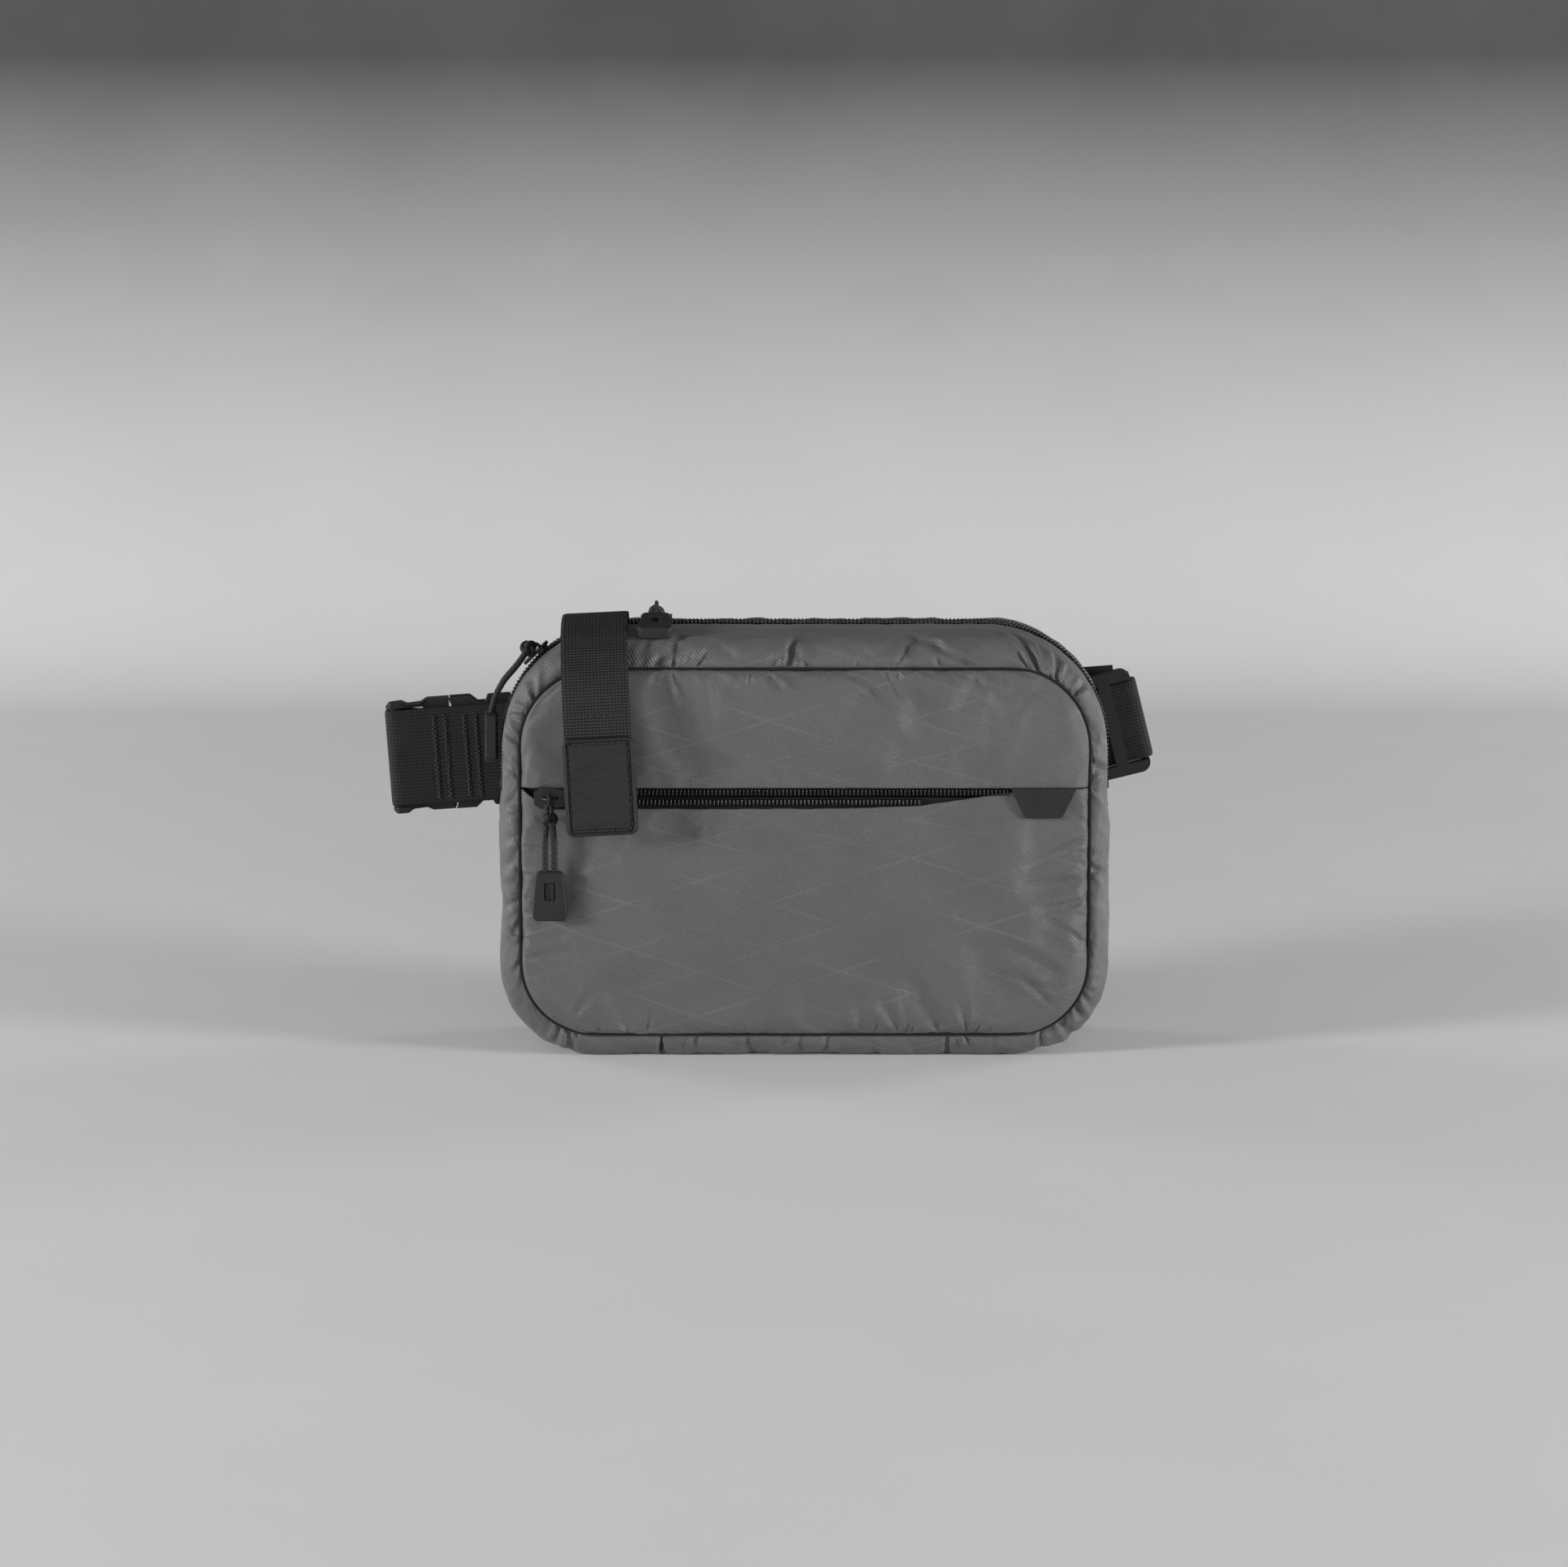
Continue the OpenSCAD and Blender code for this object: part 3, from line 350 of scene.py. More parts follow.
elevation = math.radians(CAMERA_ELEVATION)
towards_camera = Vector((0, -math.cos(elevation), math.sin(elevation)))
camera_place = CAMERA_TARGET + towards_camera * CAMERA_DISTANCE
scene.camera = aimed("camera", bpy.data.cameras.new("camera"), camera_place, -towards_camera)
scene.camera.data.sensor_width = 36
scene.camera.data.lens = CAMERA_LENS
scene.view_settings.view_transform = "Standard"

# Round lamps: place, diameter and power
LAMPS = {
    "key": ((-2.0, -0.95, 0.5), 0.5, 35), "fill": ((2.0, -0.85, 0.4), 0.6, 35),
    "front": ((0.1, -2.3, 0.6), 1.0, 5),
    "back_left": ((-1.7, 0.9, 0.5), 0.6, 8), "back_right": ((1.7, 0.9, 0.5), 0.6, 8)}
for name, (lamp_place, size, power) in LAMPS.items():
    lamp = bpy.data.lights.new(name, "AREA")
    lamp.shape = "DISK"
    lamp.size = size
    lamp.energy = power
    aimed(name, lamp, lamp_place, CAMERA_TARGET - Vector(lamp_place))

world = bpy.data.worlds.new("studio")
scene.world = world
world.use_nodes = True
sky = world.node_tree.nodes["Background"].inputs
sky["Color"].default_value = (0.9, 0.9, 0.9, 1)
sky["Strength"].default_value = 0.2

# One sheet: a level floor that sweeps up into the backdrop
FLOOR_HALF, FLOOR_BACK, SWEEP_R, BACKDROP_TOP = 9000.0, 900.0, 400.0, 2600.0
sweep = [(-FLOOR_HALF, 0.0), (FLOOR_BACK, 0.0)]
sweep += arc((FLOOR_BACK, SWEEP_R), SWEEP_R, -90, 0)
sweep += [(FLOOR_BACK + SWEEP_R, BACKDROP_TOP)]
floor_points = [(x, y, z) for y, z in sweep for x in (-FLOOR_HALF, FLOOR_HALF)]
floor = make("floor", floor_points, grid_faces(len(sweep), 2))
floor_look = Shader("floor_paper", 0.7, 0.2)
upright = floor_look.node("SeparateXYZ", floor_look.place()).outputs[2]
paper = floor_look.times(floor_look.noise(floor_look.place(), 120), 0.06)
# Painted shade: the sheet's colour darkens with height, pale on the floor and dark grey up the backdrop
floor_look.tone(floor_look.add(floor_look.spread(upright, 0.02, 0.36, 0, 0.94), paper), 244, 66)
floor.data.materials.append(floor_look.material)


# Materials
DIAMOND_W, DIAMOND_H = 54.0, 17.5


def fabric_look(name, dark, light):
    """Laminated pack cloth: fine twill, a faint diamond grid of ripstop threads and soft tonal blotches."""
    s = Shader(name, 0.55, 0.4, 0.05)
    at = s.uv()
    twill = s.wave(at, (1, 1, 0), 0.85)
    counter = s.wave(at, (1, -1, 0), 1.1)
    grain = s.noise(at, 0.7, 2)
    blotch = s.noise(at, 28)
    line_pitch = DIAMOND_W * DIAMOND_H / math.hypot(DIAMOND_W, DIAMOND_H)
    lines = [s.spread(s.wave(at, (DIAMOND_H, m * DIAMOND_W, 0), line_pitch), 0.968, 1, 0, 1) for m in (-1, 1)]
    faded = s.spread(s.noise(at, 34, 2), 0.42, 0.62, 0.15, 1)
    thread = s.times(s.math("MAXIMUM", *lines), faded)
    weave = s.add(s.times(twill, 0.16), s.times(counter, 0.06), s.times(grain, 0.42))
    s.tone(s.add(weave, s.times(blotch, 0.24), s.times(thread, 0.19), 0.1), dark, light)
    s.rough(s.spread(s.add(blotch, s.times(grain, 0.4)), 0.3, 1.0, 0.4, 0.56))
    s.bump((s.noise(at, 7, 4), 0.35), (s.math("ADD", s.times(twill, 0.5), s.times(thread, 0.8)), 0.09))
    return s.material


def webbing_look(name, dark, light):
    """Ribbed nylon webbing: ribs across the width with a row of yarn beads on each, with painted shade in the
    grooves and painted highlight on the rib tops and beads.
    """
    s = Shader(name, 0.7, 0.2, 0.04)
    at = s.uv()
    rib = s.wave(at, (0, 1, 0), RIB_PITCH)
    bead = s.wave(at, (1, 0, 0), 1.3)
    fuzz = s.noise(at, 0.5, 3)
    wear = s.noise(at, 11)
    # Painted shade in the ribs' grooves and painted highlight on their tops and beads, over the yarn's own
    # fuzz
    yarn_fuzz_and_rib_shading = s.add(s.times(rib, 0.34), s.times(bead, 0.16), s.times(fuzz, 0.4))
    s.tone(s.add(yarn_fuzz_and_rib_shading, s.times(wear, 0.3), 0.12), dark, light)
    s.bump((s.add(s.times(bead, 0.5), fuzz), 0.2))
    return s.material


def cord_look(name, dark, light, pitch=1.5, uv=True):
    """Braided cord: two crossing families of strands."""
    s = Shader(name, 0.6, 0.35, 0.1)
    at = s.uv() if uv else s.place()
    braid = s.math("MAXIMUM", s.wave(at, (1, 1, 0), pitch), s.wave(at, (1, -1, 0), pitch))
    fuzz = s.noise(at, 0.4, 3)
    s.tone(s.add(s.times(braid, 0.35), s.times(fuzz, 0.4), 0.2), dark, light)
    s.bump((s.spread(braid, -1, 1, 0, 1), 0.2), (fuzz, 0.06))
    return s.material


def woven_look(name, dark, light, pitch):
    """Plain woven cloth or zip tape, laid by the piece's own place."""
    s = Shader(name, 0.75, 0.25, 0.1)
    at = s.place()
    warp = s.times(s.wave(at, (1, 0, 0), pitch), s.wave(at, (0, 1, 1), pitch))
    fuzz = s.noise(at, 0.6, 3)
    s.tone(s.add(s.times(warp, 0.2), s.times(fuzz, 0.4), s.times(s.noise(at, 18), 0.3), 0.1), dark, light)
    s.bump((s.spread(warp, -1, 1, 0, 1), 0.12))
    return s.material


def moulded_look(name, dark, light, roughness, specular, grain):
    """Moulded plastic or rubber with a fine spark-eroded grain and rubbed high spots."""
    s = Shader(name, roughness, specular)
    at = s.place()
    fine = s.noise(at, grain, 3)
    rubbed = s.noise(at, 9)
    s.tone(s.add(s.times(fine, 0.45), s.times(rubbed, 0.55)), dark, light)
    s.rough(s.spread(rubbed, 0.3, 0.7, roughness - 0.08, roughness + 0.1))
    s.bump((fine, 0.07))
    return s.material


FABRIC = fabric_look("shell_cloth", 66, 116)
BACK_CLOTH = fabric_look("back_cloth", 52, 92)
WEBBING = webbing_look("webbing", 2, 58)
CORD = cord_look("pull_cord", 8, 38)
ROPE_BRAID = cord_look("floating_rope", (186, 178, 152), (232, 226, 206), 4.0)
TAPE = woven_look("zip_tape", 8, 22, 0.9)
LINING = woven_look("lining", 118, 150, 0.8)
POCKET_CLOTH = woven_look("pocket_cloth", 16, 30, 0.8)
FOAM = moulded_look("foam", 150, 176, 0.9, 0.1, 1.2)
TEETH = moulded_look("zip_teeth", 8, 30, 0.3, 0.5, 0.8)
PLASTIC = moulded_look("acetal", 14, 36, 0.45, 0.35, 0.5)
METAL = moulded_look("painted_metal", 10, 28, 0.36, 0.5, 0.5)
RUBBER = moulded_look("rubber", 26, 46, 0.55, 0.3, 0.45)
THREAD = cord_look("thread", 10, 58, 0.7, uv=False)


# Cords and pulls
def tube(name, paths, diameters, sides=12):
    """Tubes with closed round ends along paths of points, as one mesh with unrolled UVs.
    diameters is one for all the paths, or one for each."""
    points, uv, faces = [], [], []
    for path, diameter in zip(paths, np.broadcast_to(diameters, len(paths))):
        p = np.asarray(path, float)
        aim, run = directions(p), run_along(p)
        side = np.cross(aim[0], [0.31, 0.83, 0.47])
        first = len(points)
        # The end rings close in like a cut and melted cord
        rings = [(0, 0.35, -0.25)] + [(i, 1.0, 0.0) for i in range(len(p))] + [(len(p) - 1, 0.35, 0.25)]
        for i, share, out in rings:
            side = side - aim[i] * np.dot(side, aim[i])
            side /= np.linalg.norm(side)
            up = np.cross(aim[i], side)
            for k in range(sides):
                a = 2 * math.pi * k / sides
                offset = (side * math.cos(a) + up * math.sin(a)) * diameter / 2 * share
                points.append(p[i] + aim[i] * out * diameter + offset)
                uv.append((diameter * math.pi * k / sides, run[i]))
        faces += capped_faces(len(rings), sides, first)
    return make(name, points, faces, uv)


def through(points, step):
    """Smooth route through a few points, at an even spacing."""
    return resample(soften(resample(points, 0.25)[0], 9), step)[0]


def turned(about, degrees):
    return Matrix.Rotation(math.radians(degrees), 4, about)


def moved(place):
    return Matrix.Translation(Vector(place))


POCKET_ROUTE = [(0.6, 0.1, -5.6), (1.2, 0.2, -9.8), (1.6, 0.3, -13.8), (1.8, 0.5, -18.4), (1.8, 0.8, -23.2),
                (1.7, 1.0, -27.8), (1.3, 1.0, -33), (1.3, 1.0, -40)]
LEFT_ROUTE = [(-0.3, -7.8, 0.2), (-1.5, -8.5, -2.4), (-5, -9.5, -7), (-9.5, -9.5, -12), (-12.8, -9, -18),
              (-14.5, -8.5, -24.5), (-14.6, -8.5, -36)]
STRAND_STEP = 1.2


def pull_strand(name, route, node):
    """One strand of a pull's cord, from inside its knot to inside its tab."""
    path = through(route, STRAND_STEP)
    strand = finish_piece(tube(name, [path], CORD_D), "cord", CORD, node)


def knot(name, node, where):
    """Hitch round a slider's eye and the stopper knot under it. The eye's middle is the knot's origin."""
    ring_r, ring_d, cord_d = 1.85, 1.55, 2.1
    ball_r, ball_swing, ball_rise = 1.6, 0.85, 1.4
    ring = [(0, ring_r * math.cos(t), ring_r * math.sin(t)) for t in np.linspace(0, 2 * math.pi, 33)]
    stems = [[(m * 0.8, 0, -ring_r), (m * 0.75, 0, -KNOT_DROP + 1.5)] for m in (-1, 1)]
    turn = np.linspace(0, 2 * math.pi, 73)
    wide = ball_r + ball_swing * np.cos(3 * turn)
    rise = ball_rise * np.sin(3 * turn) - KNOT_DROP
    ball = np.stack([wide * np.cos(2 * turn), wide * np.sin(2 * turn), rise], axis=1)
    loops = [ring, ball] + [resample(stem, 0.6)[0] for stem in stems]
    hitch = tube(name, [placed(where, loop) for loop in loops], [ring_d, cord_d, cord_d, cord_d], 10)
    finish_piece(hitch, "cord", CORD, node)


def rounded(node, name, material, slot, edge):
    """A CAD node's own shape with its sharp edges broken, as a moulded piece has them."""
    mesh = frame["nodes"][node].data.copy()
    work = bmesh.new()
    work.from_mesh(mesh)
    bmesh.ops.remove_doubles(work, verts=work.verts, dist=1e-6)
    bmesh.ops.dissolve_limit(work, angle_limit=math.radians(1), verts=work.verts, edges=work.edges)
    work.to_mesh(mesh)
    work.free()
    mesh.name = name
    obj = bpy.data.objects.new(name, mesh)
    scene.collection.objects.link(obj)
    modifier(obj, "BEVEL", width=edge * MM, segments=3, limit_method="ANGLE", angle_limit=math.radians(35),
             harden_normals=False)
    mesh.polygons.foreach_set("use_smooth", [True] * len(mesh.polygons))
    modifier(obj, "WEIGHTED_NORMAL", keep_sharp=True)
    return finish_piece(obj, slot, material, node)


TAB_EDGE = 0.7
tabs = {
    pull: rounded(f"{pull}_tab", f"{pull}_moulded_tab", RUBBER, "rubber", TAB_EDGE)
    for pull in ("pocket_pull", "main_left_pull", "main_right_pull")}

for side, m in (("a", -1), ("b", 1)):
    # The tab hangs on both strands
    pull_strand(f"pocket_pull_strand_{side}", [np.add(POCKET_EYE, (m * x, y, z)) for x, y, z in POCKET_ROUTE],
                "pocket_pull_cord")
    pull_strand(f"main_left_pull_strand_{side}",
                [np.add(LEFT_EYE, (x, y + m * STRAND_GAP / 2, z)) for x, y, z in LEFT_ROUTE],
                "main_left_pull_cord")

RIGHT_PULL_LIFT, RIGHT_STRAND_END = 12, -23.5
RIGHT_PULL = moved(RIGHT_EYE) @ turned("X", RIGHT_PULL_LIFT - 90)
LEFT_PULL = moved((-CORNER_X, 0, CORNER_Z)) @ turned("Y", 90 - LEFT_SLIDER_A) @ moved((0, 0, TOP_R + EYE_Z))
stubs = [
    placed(RIGHT_PULL, [(m * STRAND_GAP / 2, 0, z) for z in np.linspace(-KNOT_DROP, RIGHT_STRAND_END, 12)])
    for m in (-1, 1)]
finish_piece(tube("main_right_pull_strands", stubs, CORD_D), "cord", CORD, "main_right_pull_cord")
knot("pocket_pull_hitch", "pocket_pull_knot", moved(POCKET_EYE))
knot("main_right_pull_hitch", "main_right_pull_knot", RIGHT_PULL)
knot("main_left_pull_hitch", "main_left_pull_knot", LEFT_PULL @ turned("X", -90))


# Fabric shells
def swell(y):
    return np.where(y < -BAND_HALF, bulge((y + FRONT_D) / (FRONT_D - BAND_HALF)), 1.0)


def taper(y):
    return np.where(y > BAND_HALF, 1 - bulge(1 - (y - BAND_HALF) / (REAR_D - BAND_HALF)), 0.0)


def slope(y):
    return max(0.0, y - BAND_HALF) / (REAR_D - BAND_HALF)


def section(y):
    """Half width, top, bottom and the two corner radii of the gusset at depth y."""
    s, t = float(swell(np.float64(y))), float(taper(np.float64(y)))
    low = FRONT_LIFT * (1 - float(bulge((y + FRONT_D) / (FRONT_D - FOOT_FRONT)))) if y < -FOOT_FRONT else 0.0
    return (lerp(FRONT_W, PACK_W, s) / 2 - (PACK_W - BACK_W) / 2 * t,
            lerp(FRONT_TOP, PACK_H, s) - (PACK_H - BACK_H) * slope(y), low,
            lerp(FRONT_TOP_R, TOP_R, s), lerp(FRONT_BOTTOM_R, BOTTOM_R, s))


def ring_point(u, y):
    """Point of the gusset ring. The station u runs as in the part's source from 0 to 12, then back along
    the bottom to 13, which meets 0 in a seam."""
    half, top, low, r_top, r_low = section(y)
    v = u if u <= 6 else 12 - u
    if u > 12:
        return np.array((lerp(JOIN_X, -JOIN_X, u - 12), y, low))
    seg = min(5, int(v))
    s = v - seg
    a = math.radians(270 - 90 * s) if seg == 1 else math.radians(180 - 90 * s)
    x, z = (
        (lerp(-JOIN_X, r_low - half, s), low),
        (r_low - half + r_low * math.cos(a), low + r_low + r_low * math.sin(a)),
        (-half, lerp(low + r_low, ZIP_END_Z, s)),
        (-half, lerp(ZIP_END_Z, top - r_top, s)),
        (r_top - half + r_top * math.cos(a), top - r_top + r_top * math.sin(a)),
        (lerp(r_top - half, 0, s), top))[seg]
    return np.array((x if u <= 6 else -x, y, z))


def ring_stations(count):
    """Stations of the ring at an even spacing on the zip's section, with the bottom seams among them."""
    u = np.linspace(0, 13, 2601)
    p = np.array([ring_point(k, 0.0) for k in u])
    run = run_along(p)
    even = np.linspace(0, run[-1], count)
    even[np.argmin(abs(even - np.interp(12, u, run)))] = np.interp(12, u, run)
    return np.interp(even, run, u), even


SIM_FRAMES = 18


def puffed(obj, pinned, growth, pressure, cap, bend):
    """Cloth simulation with sewn edges held: the cloth is cut larger than its place, so it puckers.
    Points move by cap millimetres at most, and the result is written to the mesh."""
    group = obj.vertex_groups.new(name="sewn")
    group.add([int(i) for i in np.flatnonzero(pinned)], 1.0, "REPLACE")
    rest = coordinates(obj.data)
    cloth = obj.modifiers.new("cloth", "CLOTH")
    c = cloth.settings
    c.vertex_group_mass = "sewn"
    c.quality = 6
    c.mass = 0.25
    c.air_damping = 2
    c.tension_stiffness = c.compression_stiffness = 20
    c.shear_stiffness = 12
    c.bending_stiffness = bend
    c.use_pressure = pressure > 0
    c.uniform_pressure_force = pressure
    c.shrink_min = -growth
    c.effector_weights.gravity = 0
    cloth.collision_settings.use_collision = False
    cloth.point_cache.frame_start, cloth.point_cache.frame_end = 1, SIM_FRAMES
    for f in range(1, SIM_FRAMES + 1):
        scene.frame_set(f)
    now = coordinates(obj.evaluated_get(bpy.context.evaluated_depsgraph_get()).data)
    obj.modifiers.remove(cloth)
    obj.vertex_groups.clear()
    scene.frame_set(1)
    move = (now - rest) / MM
    far = np.linalg.norm(move, axis=1)
    move *= (cap * np.tanh(far / cap) / np.maximum(far, 1e-9))[:, None]
    obj.data.vertices.foreach_set("co", (rest + move * MM).ravel())
    obj.data.update()


def creases(u, v, folds):
    """Depth of sharp folds on unrolled cloth. A fold is its start, its angle in degrees, length, width and
    depth: a straight valley between two low ridges, fading towards its far end."""
    depth = np.zeros_like(u)
    for u0, v0, angle, length, width, deep in folds:
        c, s = math.cos(math.radians(angle)), math.sin(math.radians(angle))
        along = ((u - u0) * c + (v - v0) * s) / length
        aside = abs((v - v0) * c - (u - u0) * s) / (width * (0.6 + 0.9 * np.clip(along, 0, 1)))
        profile = np.maximum(0, 1 - aside) - 0.45 * np.maximum(0, 1 - abs(aside - 1.5) / 0.9)
        depth += deep * profile * smooth((along + 0.12) / 0.2) * smooth((1 - along) / 0.75)
    return depth


def refine(obj, levels):
    """Subdivides a mesh for good, so that narrow folds have points to bend at."""
    modifier(obj, "SUBSURF", levels=levels, render_levels=levels)
    coarse = obj.data
    obj.data = bpy.data.meshes.new_from_object(obj.evaluated_get(bpy.context.evaluated_depsgraph_get()))
    obj.modifiers.clear()
    bpy.data.meshes.remove(coarse)


def unrolled(obj):
    """Each point's place in millimetres, its place on the flat cloth and its outward normal."""
    mesh = obj.data
    corner = np.empty(len(mesh.loops), int)
    mesh.loops.foreach_get("vertex_index", corner)
    uv = np.empty(2 * len(mesh.loops), np.float32)
    mesh.uv_layers["cloth"].data.foreach_get("uv", uv)
    flat = np.zeros((len(mesh.vertices), 2))
    flat[corner] = uv.reshape(-1, 2) / MM
    return coordinates(mesh) / MM, flat, coordinates(mesh, "normal")


def seam_folds(count, run, reach, deep):
    """Random puckers that run in from a seam, at places along its length."""
    return [
        (chance.uniform(0, run), 0.0, 90 + chance.normal(0, 22), reach * chance.uniform(0.5, 1.3),
         chance.uniform(1.3, 2.8), deep * chance.uniform(0.25, 1.0) ** 1.4)
        for _ in range(count)]


def reshape(obj, change):
    """Moves an object's points by a function of their millimetre coordinates."""
    obj.data.vertices.foreach_set("co", (change(coordinates(obj.data) / MM) * MM).ravel())
    obj.data.update()


def fabric(obj, thickness):
    modifier(obj, "SOLIDIFY", thickness=thickness * MM, offset=-1)


# Gusset ring: a roll that stands forward of the front seam, open at the top for the main zip
ROLL_PUFF, ROLL_SPAN, LIP_SINK = 1.3, 0.72, 0.8
stations, ring_run = ring_stations(400)
front_angle = np.radians(np.linspace(0, 90, 16))
ring_depths = np.concatenate([
    -FRONT_D + (FRONT_D - BAND_HALF) * (1 - np.cos(front_angle)),
    [-6.8, -SLIT_HALF, -2.2, 0, 2.2, SLIT_HALF, 6.8, BAND_HALF],
    BAND_HALF + (REAR_D - BAND_HALF) * np.sin(np.radians(np.linspace(8, 90, 11)))])
ring_grid = np.array([[ring_point(u, y) for u in stations] for y in ring_depths])
ring_grid[:, :, 1] = ring_depths[:, None]
in_zip = (stations > 3) & (stations < 9)
in_slot = (ring_depths > -SLIT_HALF - 0.01) & (ring_depths < SLIT_HALF + 0.01)


def outwards(grid):
    """Unit normals of the ring's grid, pointing out of the pack. Its first and last columns meet."""
    looped = np.concatenate([grid[:, -2:-1], grid, grid[:, 1:2]], axis=1)
    along = looped[:, 2:] - looped[:, :-2]
    n = np.cross(along, np.gradient(grid, axis=0))
    n /= np.maximum(np.linalg.norm(n, axis=2), 1e-9)[:, :, None]
    return n * np.sign((n * (grid - np.array((0, 0, PACK_H / 2)))).sum(axis=2))[:, :, None]


chance = np.random.default_rng(7)
roll = np.zeros(len(ring_depths))
roll[:len(front_angle)] = ROLL_PUFF * np.sin(np.pi * np.clip(front_angle / (ROLL_SPAN * math.pi / 2), 0, 1))
on_ground = ring_grid[:, :, 2] < 0.2
ring_out = roll[:, None] + chance.normal(0, 0.12, on_ground.shape) * ~on_ground
# The slot's front edge lies a little lower than the zip, so that the teeth show
ring_out -= LIP_SINK * smooth(1 - abs(ring_depths + SLIT_HALF) / 5)[:, None] * in_zip
ring_grid += outwards(ring_grid) * np.where(on_ground & (ring_out > 0), 0, ring_out)[:, :, None]
joins = (stations < 0.001) | (stations > 12.999) | (abs(stations - 12) < 0.001)
ring_pins = on_ground.copy()
ring_pins[[0, -1]] = True
ring_pins[:, joins] = True
ring_pins[np.ix_(in_slot, in_zip)] = True
ring_uv_v = run_along(ring_grid[:, 0])
gusset = make(
    "gusset_shell", ring_grid.reshape(-1, 3),
    grid_faces(
        len(ring_depths), len(stations),
        keep=lambda i, j: not (in_slot[i] and in_slot[i + 1] and in_zip[j] and in_zip[j + 1])),
    [(run, v) for v in ring_uv_v for run in ring_run])
puffed(gusset, ring_pins.ravel(), 0.03, 0.15, 1.6, bend=0.3)
refine(gusset, 1)

# Puckers drawn in from the front seam: those that the photo shows, then random ones there and at the back
# seam. Each of the first is the place on the zip's section it points at, its angle, length, width and depth.
PHOTO_FOLDS = [
    (-44, 165, 100, 22, 2.6, 1.7), (-36, 165, 68, 16, 2.0, 1.1), (-5, 165, 90, 20, 2.4, 1.7),
    (-11, 165, 58, 14, 1.8, 1.0), (2, 165, 124, 14, 1.8, 1.0), (30, 165, 52, 30, 2.2, 1.0),
    (58, 165, 140, 40, 2.6, 1.2), (86, 160, 115, 34, 3.0, 1.9), (95, 155, 95, 24, 2.4, 1.4),
    (104, 148, 78, 20, 2.2, 1.2), (117, 112, 72, 18, 2.4, 1.4), (117, 104, 110, 16, 2.0, 1.1),
    (117, 75, 70, 16, 2.2, 1.3), (117, 70, 115, 14, 1.8, 1.0), (112, 22, 80, 18, 2.2, 1.2),
    (100, 10, 100, 20, 2.4, 1.3), (92, 5, 75, 16, 2.0, 1.0), (-117, 120, 60, 24, 2.6, 1.4),
    (-117, 108, 64, 20, 2.2, 1.2), (-115, 140, 110, 18, 2.0, 1.2), (-117, 60, 95, 12, 1.8, 0.9),
    (-96, 8, 95, 16, 2.2, 1.1), (-88, 4, 80, 14, 2.0, 1.0)]
zip_section = np.array([ring_point(u, 0.0) for u in stations])
ring_folds = [
    (ring_run[np.argmin(np.hypot(zip_section[:, 0] - x, zip_section[:, 2] - z))], 0, *fold)
    for x, z, *fold in PHOTO_FOLDS]
ring_folds += seam_folds(70, ring_run[-1], 14, 1.2)
ring_folds += [(u, ring_uv_v[-1], angle + 180, length, width, deep)
               for u, _, angle, length, width, deep in seam_folds(60, ring_run[-1], 13, 1.2)]
FOLD_MOST, JOIN_DEEP, JOIN_W = 2.2, 1.7, 1.0
place, flat, normal = unrolled(gusset)
depth = np.minimum(creases(flat[:, 0], flat[:, 1], ring_folds), FOLD_MOST)
depth *= smooth((abs(place[:, 1]) - SLIT_HALF) / 6) * smooth(place[:, 2] / 3)
for run in (ring_run[0], ring_run[joins][1], ring_run[-1]):
    depth += JOIN_DEEP * np.exp(-((flat[:, 0] - run) / JOIN_W) ** 2) * smooth(place[:, 2])
depth *= smooth(flat[:, 1] / 2) * smooth((ring_uv_v[-1] - flat[:, 1]) / 2)
reshape(gusset, lambda p: p - normal * depth[:, None])

# The right pull slides along over the top's front slope, and the left tab hangs beside the pack
PULL_UNDER, PULL_SLOPE, CLEAR = 168.1, 0.2126, 0.35
LEFT_TAB_SIDE = -118.2
EDGE_SLOPE, EDGE_FADE = 0.05, 30.0


def kept_clear(p):
    """Keeps the gusset on the ground, inside the main zip's edge, under the right pull and beside the left
    tab."""
    x, y, z = p.T
    dx, dz = np.maximum(abs(x) - CORNER_X, 0), np.maximum(z - CORNER_Z, 0)
    far = np.maximum(np.hypot(dx, dz), 1e-6)
    allowed = TOP_R - EDGE_SLOPE * abs(y) + 4 * smooth((ZIP_END_Z - z) / EDGE_FADE)
    share = np.where((y < -SLIT_HALF) & (far > allowed), allowed / far, 1)
    x = np.where(abs(x) > CORNER_X, np.sign(x) * (CORNER_X + dx * share), x)
    z = np.where(z > CORNER_Z, CORNER_Z + dz * share, z)
    under = (y < -9.5) & (x > -70) & (x < 76) & (z > 120)
    z = np.where(under, np.minimum(z, PULL_UNDER + PULL_SLOPE * y - CLEAR), z)
    beside = (y > -20) & (y < 2) & (z > 104) & (z < 138) & (x < 0)
    x = np.where(beside, np.maximum(x, LEFT_TAB_SIDE + CLEAR), x)
    return np.stack([x, y, np.maximum(z, 0.1)], axis=1)


reshape(gusset, kept_clear)
fabric(gusset, 0.9)
finish_piece(gusset, "shell", FABRIC, "top_gusset_front", "top_gusset_rear", "side_gusset_left",
             "side_gusset_right", "bottom_gusset")


# Front panels and back panel
def half_at(z, width, low, top, r_low, r_top):
    """Half width of a rounded panel at height z."""
    down = np.clip(low + r_low - z, 0, r_low)
    up = np.clip(z - top + r_top, 0, r_top)
    return width / 2 - (r_low - np.sqrt(r_low ** 2 - down ** 2)) - (r_top - np.sqrt(r_top ** 2 - up ** 2))


def edge_dist(x, z, width, low, top, r_low, r_top):
    """Distance from a point of a rounded panel to its edge."""
    inside = np.minimum(np.minimum(width / 2 - abs(x), z - low), top - z)
    for r, dz in ((r_low, low + r_low - z), (r_top, z - top + r_top)):
        dx = abs(x) - width / 2 + r
        inside = np.where((dx > 0) & (dz > 0), r - np.hypot(dx, dz), inside)
    return np.maximum(0, inside)


